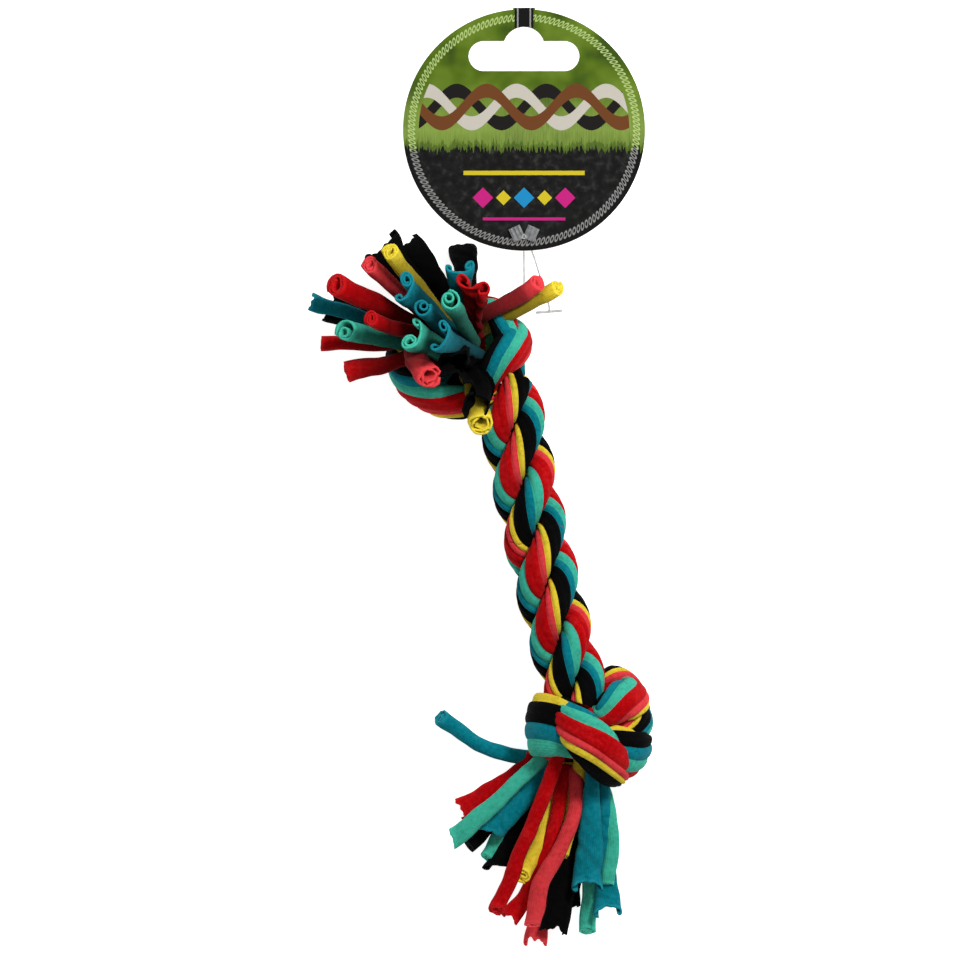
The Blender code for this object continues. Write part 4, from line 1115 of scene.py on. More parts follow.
        piece = skin(name, rings, np.append(cloth_along, cloth_along[0]), along - along[-1], [0] * len(loop),
                     caps, [wardrobe.cloths[strip.colour]])
        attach(piece, f"{self.prefix}_end")
        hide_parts(f"{self.prefix}_strip_{strip.name}")
        f"jersey_{strip.colour.name.lower()}"
        width, length = max(float(lengths_along(line)[-1]), self.least_cloth), float(along[-1])
        share = sum(face.area for face in piece.data.polygons) / (2 * width * length)
        LOG.info("%s: %.1f x %.1f mm, share %.2f", name, width / MM, length / MM, share)

    def build(self, solids: Balls, wardrobe: Wardrobe) -> Line:
        """Makes the fringe's strips.

        Args:
            solids: Balls that fill what the strips keep clear of.
            wardrobe: The jersey materials.

        Returns:
            The strips' coarse routes, with their widths and thicknesses in two more columns.
        """
        routes = self.parted(solids)
        for number, strip in enumerate(self.strips):
            if strip.via:
                stops = [self.spot((x, y), height * self.knot_radius) for x, y, height in strip.via]
                routes[number] = evenly(smooth_curve(stops, self.dense), self.coarse)
        courses = np.concatenate([routes, np.stack(self.sizes(), axis=-1)], axis=2)
        for number, strip in enumerate(self.strips):
            self.dress(number, strip, courses[number], wardrobe)
        return courses


UPPER_STRIPS = (
    Strip("black_1", "outer", 128, (381, 247), 1.15, 2.0, (0, 0, 0.06), Roll.FLAT, flare=1.3, ragged=0.5 * MM,
          full=1.3, crumple=0.03),
    Strip("black_2", "outer", 100, (409, 242), 1.00, 1.15, (0, 0, 0.05), Roll.FLAT, flare=1.0,
          ragged=0.4 * MM, full=1.7),
    Strip("black_3", "outer", 176, (331, 306), 0.62, 1.6, (0, 0, 0.10), Roll.FLAT, ragged=0.9 * MM, full=1.5),
    Strip("black_4", "outer", 72, (463, 247), 0.14, 1.7, (0.10, 0, 0.12), Roll.FLAT, flare=1.2,
          ragged=0.5 * MM, crumple=0.03, full=1.15),
    Strip("black_5", "outer", 318, (466, 386), 2.20, 2.0, (0.10, 0, 0.16), Roll.BUNCH, flare=1.5,
          ragged=1.3 * MM, crumple=0.12, full=1.8),
    Strip("yellow_1", "inner", 135, (388, 251), 1.95, 1.3, (0, 0, 0.06), lift=38, flare=1.25, ragged=0.6 * MM,
          uneven=0.10),
    Strip("yellow_2", "outer", 12, (557, 291), 0.98, 1.15, (0, 0, 0.26), lift=38, flare=1.3,
          via=((478, 332, 0.60), (492, 324, 1.05), (512, 313, 1.22), (536, 301, 1.12), (557, 289, 0.98))),
    Strip("yellow_3", "outer", 284, (482, 428), 2.02, 1.5, (0, 0, 0.20), lift=30, flare=1.3, ragged=0.8 * MM,
          crumple=0.05, uneven=0.14, full=1.15),
    Strip("coral_1", "outer", 151, (368, 264), 1.62, 1.3, (0, 0, 0.06), lift=40, flare=1.25, ragged=0.5 * MM,
          uneven=0.10),
    Strip("coral_2", "outer", 42, (537, 287), 1.25, 1.35, (0, 0, 0.24), lift=45, flare=1.2,
          via=((470, 324, 0.70), (485, 315, 1.25), (502, 307, 1.46), (520, 297, 1.40), (538, 286, 1.25))),
    Strip("coral_3", "outer", 252, (433, 382), 2.35, 1.7, (0, 0, 0.14), flare=1.25, ragged=0.9 * MM,
          crumple=0.07, uneven=0.20, full=1.05, lift=30,
          via=((446, 346, 0.80), (424, 346, 1.45), (414, 353, 1.90), (420, 366, 2.25), (433, 380, 2.40))),
    Strip("red_1", "inner", 168, (336, 286), 1.70, 1.7, (0, 0, 0.08), lift=15, flare=1.25),
    Strip("red_2", "core", 200, (368, 321), 2.25, 1.15, (0, 0, 0.08), lift=30, flare=1.25),
    Strip("red_3", "outer", 203, (322, 343), 0.85, 1.05, (0, -0.08, 0.12), flare=1.25),
    Strip("red_4", "outer", 230, (347, 373), 1.15, 1.5, (0, -0.06, 0.14), flare=1.3, ragged=0.4 * MM),
    Strip("red_5", "inner", 58, (473, 283), 2.00, 1.5, (0.10, 0, 0.06), Roll.BUNCH, lift=30, flare=1.35,
          ragged=0.6 * MM, crumple=0.12, full=1.25),
    Strip("teal_1", "inner", 196, (312, 301), 0.95, 1.0, (0, 0, 0.10), Roll.FLAT, flare=1.25,
          ragged=0.7 * MM),
    Strip("teal_2", "core", 130, (401, 286), 2.15, 1.9, (0, 0, 0.04), Roll.SCROLL, lift=35, flare=1.25),
    Strip("teal_3", "core", 290, (420, 309), 2.60, 1.35, (0, 0, 0.02), Roll.SPIRAL, lift=20, flare=1.25,
          spin=160),
    Strip("teal_4", "inner", 325, (438, 338), 2.95, 1.7, (0, 0, 0.02), Roll.HOOK, lift=15, flare=1.5,
          spin=35),
    Strip("teal_5", "inner", 98, (459, 267), 1.70, 1.8, (0, 0, 0.06), Roll.HOOK, lift=20, flare=1.25),
    Strip("mint_1", "inner", 240, (344, 331), 1.55, 1.35, (0, 0, 0.10), Roll.SPIRAL, lift=40, flare=1.55),
    Strip("mint_2", "core", 40, (449, 299), 2.85, 1.45, (0, 0, 0.02), Roll.SPIRAL, lift=20, flare=1.35,
          spin=60),
    Strip("mint_3", "inner", 280, (409, 335), 2.50, 1.7, (0, 0, 0.04), Roll.SCROLL, lift=25, flare=1.3,
          mirror=True, full=1.15),
)
LOWER_STRIPS = (
    Strip("teal_1", "outer", 180, (443, 719), 0.24, 1.2, (0.04, -0.10, 0.0), flare=1.35, ragged=0.6 * MM,
          via=((562, 748, 0.20), (530, 757, 0.22), (500, 752, 0.26), (467, 737, 0.26), (440, 717, 0.24))),
    Strip("teal_2", "inner", 205, (485, 829), 0.50, 1.6, (0, 0, 0.0), Roll.FLAT, skew=0.5, ragged=0.5 * MM,
          full=1.35,
          via=((550, 764, 0.42), (533, 784, 0.50), (517, 803, 0.50), (501, 819, 0.46), (486, 832, 0.42))),
    Strip("teal_3", "outer", 52, (588, 888), 0.60, 2.2, (0, 0, 0.06), Roll.FLAT, lift=75, skew=-0.3,
          flare=1.15, ragged=0.9 * MM, crumple=0.03),
    Strip("teal_4", "outer", 24, (607, 913), 0.30, 1.9, (0.06, 0, 0.08), Roll.FLAT, lift=80, flare=1.2,
          ragged=0.8 * MM, crumple=0.03),
    Strip("mint_1", "outer", 148, (452, 838), 0.55, 1.5, (0, 0, 0.12), Roll.HOOK, skew=-0.35, flare=1.1),
    Strip("mint_2", "inner", 168, (492, 853), 0.10, 1.1, (0, 0, 0.06),
          via=((548, 768, 0.22), (524, 792, 0.16), (508, 818, 0.13), (496, 840, 0.13), (486, 857, 0.13))),
    Strip("mint_3", "outer", 355, (609, 879), 0.15, 1.2, (0.10, 0, 0.02),
          via=((588, 766, 0.40), (603, 790, 0.58), (611, 828, 0.62), (611, 860, 0.56), (607, 884, 0.48))),
    Strip("mint_4", "outer", 325, (587, 931), 0.15, 1.3, (0.05, 0, 0.0), flare=1.25, ragged=0.5 * MM),
    Strip("red_1", "outer", 208, (460, 809), 0.15, 1.5, (0, 0, 0.0), Roll.FLAT, ragged=0.8 * MM, full=1.15),
    Strip("red_2", "outer", 116, (496, 909), 0.75, 1.25, (0.02, 0, 0.08), lift=20, flare=1.2,
          ragged=0.5 * MM),
    Strip("red_3", "inner", 66, (511, 916), 0.34, 1.35, (0.04, 0, 0.06), Roll.HOOK, flare=1.25,
          ragged=0.6 * MM,
          via=((562, 764, 0.62), (559, 797, 0.74), (552, 831, 0.70), (541, 864, 0.58), (528, 891, 0.42),
               (509, 917, 0.34))),
    Strip("red_4", "inner", 10, (600, 842), 0.34, 1.2, (0, 0, 0.0)),
    Strip("coral_1", "outer", 84, (530, 925), 0.72, 1.45, (0.10, 0, 0.08), skew=0.15, flare=1.05,
          via=((574, 768, 0.58), (576, 797, 0.78), (571, 822, 0.86), (557, 852, 0.86), (542, 880, 0.80),
               (532, 924, 0.66))),
    Strip("coral_2", "outer", 266, (536, 941), 0.12, 1.7, (0, 0, 0.0), Roll.FLAT, ragged=1.2 * MM),
    Strip("yellow_1", "inner", 104, (521, 875), 0.62, 1.15, (0.02, 0, 0.06), lift=35, flare=1.3,
          ragged=0.4 * MM,
          via=((557, 768, 0.42), (552, 795, 0.50), (543, 830, 0.56), (532, 858, 0.60), (522, 877, 0.64))),
    Strip("yellow_2", "core", 0, (562, 855), 0.50, 1.1, (0, 0, 0.06)),
    Strip("black_1", "outer", 236, (469, 846), 0.12, 1.1, (0, 0, 0.0)),
    Strip("black_2", "inner", 248, (505, 867), 0.16, 2.2, (0, 0, 0.0), Roll.FLAT, skew=0.45, full=1.25,
          via=((554, 776, 0.24), (540, 800, 0.22), (527, 826, 0.21), (514, 850, 0.20), (503, 868, 0.20))),
    Strip("black_3", "inner", 290, (555, 930), 0.38, 1.9, (0.04, 0, 0.0), Roll.FLAT, ragged=1.1 * MM,
          full=1.1),
    Strip("black_4", "outer", 296, (574, 908), 0.12, 1.4, (0.02, 0, 0.0), Roll.FLAT, skew=0.4),
)

# Knot bands: points of each ply's route in shares of the knot's radius, its width there in shares of the full
# width, and which part of the stripes' round faces outwards.
LOWER_BANDS = {
    "a": (
        (0.10, 0.30, 0.30, 0.55, -0.28), (0.22, 0.22, 0.62, 0.72, -0.10), (0.52, 0.42, 0.60, 0.80, 0.04),
        (0.76, 0.54, 0.10, 0.75, 0.16), (0.50, 0.55, -0.48, 0.65, 0.38), (-0.05, 0.52, -0.66, 0.60, 0.54),
        (-0.46, 0.44, -0.34, 0.56, 0.70), (-0.46, 0.34, 0.20, 0.50, 0.84), (-0.36, 0.20, 0.62, 0.60, 1.00),
        (-0.14, -0.04, 0.82, 0.84, 1.14), (0.16, -0.36, 0.82, 0.90, 1.29), (0.40, -0.66, 0.46, 0.80, 1.40),
        (0.46, -0.80, -0.08, 0.58, 1.50), (0.24, -0.56, -0.34, 0.50, 1.60),
    ),
    "b": (
        (0.05, 0.30, -0.20, 0.55, 0.10), (0.10, 0.20, -0.62, 0.60, 0.30), (-0.40, 0.06, -0.66, 0.70, 0.46),
        (-0.80, 0.00, -0.20, 1.15, 0.66), (-0.76, 0.04, 0.32, 1.25, 0.67), (-0.46, -0.05, 0.54, 1.18, 0.71),
        (-0.05, -0.22, 0.50, 0.84, 0.72), (0.36, -0.30, 0.54, 0.84, 0.72), (0.68, -0.44, 0.38, 0.98, 0.80),
        (0.78, -0.46, -0.14, 0.92, 0.88), (0.44, -0.40, -0.62, 0.70, 0.96), (-0.10, -0.40, -0.64, 0.65, 1.08),
        (-0.46, -0.40, -0.40, 0.55, 1.20), (-0.34, -0.34, -0.10, 0.45, 1.30),
    ),
    "c": (
        (0.20, 0.55, -0.10, 0.50, 0.62), (0.40, 0.80, -0.16, 0.60, 0.55), (0.66, 0.66, -0.40, 0.60, 0.46),
        (0.82, 0.24, -0.42, 0.60, 0.90), (0.84, 0.06, 0.06, 0.62, 0.74), (0.56, -0.02, 0.34, 0.55, 0.42),
        (0.26, -0.06, 0.20, 0.50, 0.20), (0.12, -0.26, 0.02, 0.45, 0.00),
    ),
}
UPPER_BANDS = {
    "a": (
        (0.26, -0.54, 0.12, 0.55, 0.88), (0.48, -0.30, 0.36, 0.66, 0.94), (0.70, -0.04, 0.46, 0.78, 0.99),
        (0.92, 0.20, 0.32, 0.82, 1.03), (1.02, 0.34, -0.10, 0.74, 1.12), (0.80, 0.42, -0.42, 0.80, 1.30),
        (0.42, 0.28, -0.52, 0.95, 1.55), (0.20, -0.20, -0.60, 0.90, 1.80),
    ),
    "b": (
        (0.80, -0.60, -0.20, 0.55, 0.76), (0.94, -0.24, -0.20, 0.70, 0.86), (0.84, 0.14, 0.02, 0.70, 0.96),
        (0.80, 0.48, 0.24, 0.76, 1.02), (0.62, 0.80, 0.04, 0.70, 1.12), (0.06, 0.80, -0.10, 0.60, 1.36),
        (-0.60, 0.46, -0.16, 0.60, 1.55), (-0.60, 0.22, -0.52, 0.60, 1.70), (-0.24, 0.06, -0.66, 0.90, 1.85),
        (0.26, -0.04, -0.56, 1.00, 2.00),
    ),
    "c": (
        (0.56, -0.62, 0.30, 0.60, 1.50), (0.16, -0.72, 0.48, 0.82, 1.36), (-0.34, -0.64, 0.48, 0.90, 1.16),
        (-0.80, -0.34, 0.28, 0.95, 0.88), (-0.96, 0.06, -0.06, 0.95, 0.64), (-0.66, -0.20, -0.50, 0.80, 0.45),
        (-0.20, -0.40, -0.58, 0.90, 0.25), (0.24, -0.30, -0.50, 0.90, 0.05),
    ),
}


YELLOW_INK = (0.70, 0.56, 0.02)
PINK_INK = (0.62, 0.015, 0.23)
BLUE_INK = (0.012, 0.28, 0.60)


@dataclass(frozen=True)
class Print:
    """Colours and layout of the card's generic print, in shares of the card's radius."""

    green: Point = (0.094, 0.168, 0.006)
    light_green: Point = (0.150, 0.245, 0.020)
    dark_green: Point = (0.042, 0.088, 0.004)
    blade: Point = (0.33, 0.46, 0.10)
    charcoal: Point = (0.0095, 0.0095, 0.009)
    soot: Point = (0.0035, 0.0035, 0.0035)
    ash: Point = (0.034, 0.034, 0.033)
    link_on_green: Point = (0.52, 0.68, 0.24)
    link_on_black: Point = (0.33, 0.33, 0.32)
    lawn: tuple[float, float] = (95.0, 2.0)
    gravel: tuple[float, float] = (480.0, 5.0)
    grain: tuple[float, float] = (900.0, 4.0)
    grain_share: float = 0.06
    border: float = -0.16
    blades_each_way: tuple[float, float] = (62.0, 4.0)
    blade_length: float = 0.20
    blade_foot: float = 0.05
    blade_shade: float = 0.6
    tuft_reach: float = 2.6
    tuft_strength: float = 1.1
    waves: tuple[tuple[float, Point], ...] = (
        (0.0, (0.010, 0.008, 0.007)), (2.094, (0.62, 0.58, 0.50)), (4.189, (0.17, 0.055, 0.014)),
    )
    wave_middle: float = 0.19
    wave_height: float = 0.135
    wave_half: float = 0.058
    wave_reach: float = 0.87
    waves_across: float = 8.49
    diamonds: tuple[tuple[float, float, Point], ...] = (
        (-0.34, 0.085, PINK_INK), (-0.17, 0.062, YELLOW_INK), (0.0, 0.085, BLUE_INK),
        (0.17, 0.062, YELLOW_INK), (0.34, 0.085, PINK_INK),
    )
    diamond_level: float = -0.56
    lines: tuple[tuple[float, float, float, Point], ...] = (
        (-0.355, 0.50, 0.018, YELLOW_INK), (-0.735, 0.34, 0.012, PINK_INK),
    )
    links: int = 150
    link_lean: float = 0.42
    link_length: float = 2.35
    link_hollow: float = 0.52
    link_strength: float = 0.85
    whole_turns: float = 200.0
    ring_middle: float = 0.93
    ring_half: float = 0.031
    rim: float = 0.966
    neck_half: float = 0.078
    neck_low: float = 0.845
    neck_bars: tuple[float, ...] = (-0.052, 0.052)
    bar_half: float = 0.006

    def material(self, middle: Point, radius: float) -> bpy.types.Material:
        """Builds the printed card's node material.

        Args:
            middle: The card's middle, seen from above.
            radius: The card's radius.

        Returns:
            The material.
        """
        paint = Nodes("printed_card")
        here = paint.here()
        u, v = ((value - at) * (1 / radius) for value, at in zip(paint.split(here), middle))
        r = (u * u + v * v).do("SQRT")
        greens = (self.dark_green, self.green, self.light_green)
        colour = paint.ramp(paint.noise(here, *self.lawn), list(zip((0.34, 0.50, 0.66), greens)))
        stretched = paint.node("ShaderNodeCombineXYZ")
        for value, often, target in zip((u, v), self.blades_each_way, stretched.inputs):
            paint.feed(value * often, target)
        grass = Value(paint, stretched.outputs[0])
        edge = v + (paint.noise(grass, 1.0, 2.0) - 0.5) * self.blade_length
        near = (1.0 - abs(v * self.tuft_reach)).do("MAXIMUM", 0.0) * paint.noise(grass, 1.7, 4.0)
        colour = paint.mix(near * self.tuft_strength, colour, self.blade)
        colour = paint.mix((edge < self.border + self.blade_foot) * self.blade_shade, colour, self.dark_green)
        darks = (self.soot, self.charcoal, self.ash)
        low = edge < self.border
        colour = paint.mix(low, colour, paint.ramp(paint.noise(here, *self.gravel),
                                                   list(zip((0.38, 0.55, 0.74), darks))))
        for phase, tone in self.waves:
            away = v - self.wave_middle - (u * self.waves_across + phase).do("SINE") * self.wave_height
            colour = paint.mix((abs(away) < self.wave_half) * (r < self.wave_reach), colour, tone)
        for across, size, tone in self.diamonds:
            colour = paint.mix(abs(u - across) + abs(v - self.diamond_level) < size, colour, tone)
        for level, half, thick, tone in self.lines:
            colour = paint.mix((abs(u) < half) * (abs(v - level) < thick), colour, tone)
        out = (r - self.ring_middle) * (1 / self.ring_half)
        phase = v.do("ARCTAN2", u) * (self.links / FULL_TURN) + out * self.link_lean
        near = ((phase + self.whole_turns).do("FRACT") - 0.5) * self.link_length
        oval = (near * near + out * out).do("SQRT")
        link = (oval < 1.0) * (oval > self.link_hollow) * self.link_strength
        colour = paint.mix(link, colour, paint.mix(low, self.link_on_green, self.link_on_black))
        colour = paint.mix((r > self.rim) * low, colour, self.soot)
        neck = (abs(u) < self.neck_half) * (v > self.neck_low)
        colour = paint.mix(neck, colour, self.soot)
        for across in self.neck_bars:
            colour = paint.mix(neck * (abs(u - across) < self.bar_half), colour, self.link_on_black)
        fine = paint.noise(here, *self.grain)
        colour = paint.mix(fine * self.grain_share, colour, self.soot)
        return paint.finish(colour, {"Roughness": 0.6, "Specular IOR Level": 0.10}, fine, 0.02 * MM, 0.35)


@dataclass(frozen=True)
class Board:
    """Plain pale board: the card's back, its inner faces and its cut edges."""

    colour: Point = (0.78, 0.77, 0.73)
    dull: float = 0.93
    grain: tuple[float, float] = (900.0, 4.0)

    def material(self) -> bpy.types.Material:
        """Builds the board's node material."""
        paint = Nodes("plain_board")
        grain = paint.noise(paint.here(), *self.grain)
        tones = [(0.35, tuple(c * self.dull for c in self.colour)), (0.65, self.colour)]
        values = {"Roughness": 0.6, "Specular IOR Level": 0.10}
        return paint.finish(paint.ramp(grain, tones), values, grain, 0.02 * MM, 0.35)


def select(pieces: Sequence[bpy.types.Object]) -> None:
    """Selects these pieces alone, and makes the first one active."""
    bpy.ops.object.select_all(action="DESELECT")
    for piece in pieces:
        piece.select_set(True)
    bpy.context.view_layer.objects.active = pieces[0]


def change(piece: bpy.types.Object, kind: str, **values: object) -> None:
    """Adds a modifier to a piece and applies it.

    Args:
        piece: The piece.
        kind: The modifier's kind.
        **values: Its settings.
    """
    modifier = piece.modifiers.new("shape", kind)
    for name, value in values.items():
        setattr(modifier, name, value)
    select([piece])
    bpy.ops.object.modifier_apply(modifier=modifier.name)


def combine(piece: bpy.types.Object, others: Sequence[bpy.types.Object], operation: str) -> None:
    """Cuts other solids out of a piece or fuses them to it, and uses them up.

    Args:
        piece: The piece.
        others: The other solids.
        operation: DIFFERENCE or UNION.
    """
    for other in others:
        change(piece, "BOOLEAN", operation=operation, solver="EXACT", object=other)
        bpy.data.objects.remove(other, do_unlink=True)


def lay(piece: bpy.types.Object, matrix: Matrix) -> None:
    """Moves a piece's mesh by a matrix, and leaves its object at the origin."""
    piece.data.transform(matrix @ piece.matrix_world)
    piece.matrix_world = Matrix.Identity(4)


def block(name: str, size: Point, at: Point) -> bpy.types.Object:
    """Adds a box of a size at a place."""
    bpy.ops.mesh.primitive_cube_add(size=1.0, location=at)
    piece = bpy.context.object
    piece.name = name
    piece.scale = size
    bpy.ops.object.transform_apply(location=False, rotation=False, scale=True)
    return piece


def disc(name: str, radius: float, at: Point, depth: float, sides: int = 256,
         turn: float = 0.0) -> bpy.types.Object:
    """Adds a fine disc or rod.

    Args:
        name: Its name.
        radius: Its radius.
        at: Its middle.
        depth: Its length.
        sides: How many sides it has.
        turn: How far its axis turns from up to +X.

    Returns:
        The new object.
    """
    bpy.ops.mesh.primitive_cylinder_add(
        vertices=sides, radius=radius, depth=depth, location=at, rotation=(0.0, turn, 0.0))
    piece = bpy.context.object
    piece.name = name
    bpy.ops.object.transform_apply(location=False, rotation=True, scale=False)
    return piece


@dataclass
class HangCard:
    """The folded round hang card: two panels, each with a euro slot and a pin hole, and a short fold."""

    radius: float = 35.0 * MM
    thickness: float = 0.4 * MM
    space: float = 0.5 * MM
    middle_px: tuple[float, float] = (524.0, 130.3)
    rest_height: float = 0.5 * MM
    tilt_deg: float = 2.6
    fold_width: float = 6.4 * MM
    fold_sides: int = 48
    slot_width: float = 32.0 * MM
    slot_height: float = 8.7 * MM
    slot_from_top: float = 13.6 * MM
    bump_radius: float = 6.0 * MM
    bump_rise: float = 4.1 * MM
    hole_radius: float = 0.75 * MM
    hole_from_rim: float = 4.1 * MM
    clearance: float = 2.0 * MM
    flat_enough: float = 0.6

    @property
    def front(self) -> float:
        """Height of the front panel's face above the back panel's back."""
        return 2 * self.thickness + self.space

    @property
    def hole_drop(self) -> float:
        """Distance of the pin hole below the card's middle."""
        return self.radius - self.hole_from_rim

    def matrix(self) -> Matrix:
        """Returns where the card lies."""
        tilt = math.radians(self.tilt_deg)
        middle = place(self.middle_px, 0.0)
        reach = self.radius + self.thickness + self.space / 2
        middle.z = self.rest_height + reach * math.sin(tilt)
        return Matrix.Translation(middle) @ Matrix.Rotation(-tilt, 4, "X")

    def ceiling(self, balls: Line) -> Line:
        """Returns how high a point under or near the card may reach."""
        middle = self.matrix().translation
        near = np.hypot(balls[:, 0] - middle.x, balls[:, 1] - middle.y) < self.radius + self.clearance
        under = middle.z - (balls[:, 1] - middle.y) * math.tan(math.radians(self.tilt_deg)) - GAP
        return np.where(near, under, 1.0)

    def panel(self, name: str, low: float) -> bpy.types.Object:
        """Makes one panel with its slot and its pin hole.

        Args:
            name: The panel's name.
            low: Height of its back.

        Returns:
            The new object.
        """
        level = low + self.thickness / 2
        piece = disc(name, self.radius, (0.0, 0.0, level), self.thickness)
        end = self.slot_height / 2
        run = self.slot_width / 2 - end
        slot_at = self.radius - self.slot_from_top
        deep = 4 * self.thickness
        cutters = [block("slot_run", (2 * run, self.slot_height, deep), (0.0, slot_at, level))]
        cutters += [disc(part, size, (x, y, level), deep) for part, size, x, y in (
            ("slot_left", end, -run, slot_at), ("slot_right", end, run, slot_at),
            ("slot_hump", self.bump_radius, 0.0, slot_at + end + self.bump_rise - self.bump_radius),
            ("pin_hole", self.hole_radius, 0.0, -self.hole_drop),
        )]
        combine(piece, cutters, "DIFFERENCE")
        return piece

    def fold(self) -> bpy.types.Object:
        """Makes the short fold: half a tube of card at the top."""
        outer = self.thickness + self.space / 2
        foot = math.sqrt(self.radius ** 2 - (self.fold_width / 2) ** 2)
        piece, bore = (
            disc(name, radius, (0.0, foot, outer), length, self.fold_sides, math.pi / 2)
            for name, radius, length in (
                ("fold", outer, self.fold_width), ("fold_bore", self.space / 2, 2 * self.fold_width))
        )
        side = 4 * outer
        half = block("fold_half", (2 * self.fold_width, side, side), (0.0, foot - side / 2, outer))
        combine(piece, [bore, half], "DIFFERENCE")
        return piece

    def build(self) -> None:
        """Makes the card, with its print on the front face alone."""
        back = self.panel("hang_card", 0.0)
        combine(back, [self.panel("front_panel", self.thickness + self.space), self.fold()], "UNION")
        lay(back, self.matrix())
        select([back])
        bpy.ops.object.shade_smooth_by_angle(angle=math.radians(30))
        back.data.materials.clear()
        middle = self.matrix().translation
        for material in (Print().material((middle.x, middle.y), self.radius), Board().material()):
            back.data.materials.append(material)
        flat = self.matrix().inverted()
        for face in back.data.polygons:
            level = (flat @ face.center).z
            printed = face.normal.z > self.flat_enough and level > self.thickness + self.space
            face.material_index = 0 if printed else 1
        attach(back, "tag")
        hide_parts("hang_tag")
        LOG.info("card: %d faces", len(back.data.polygons))


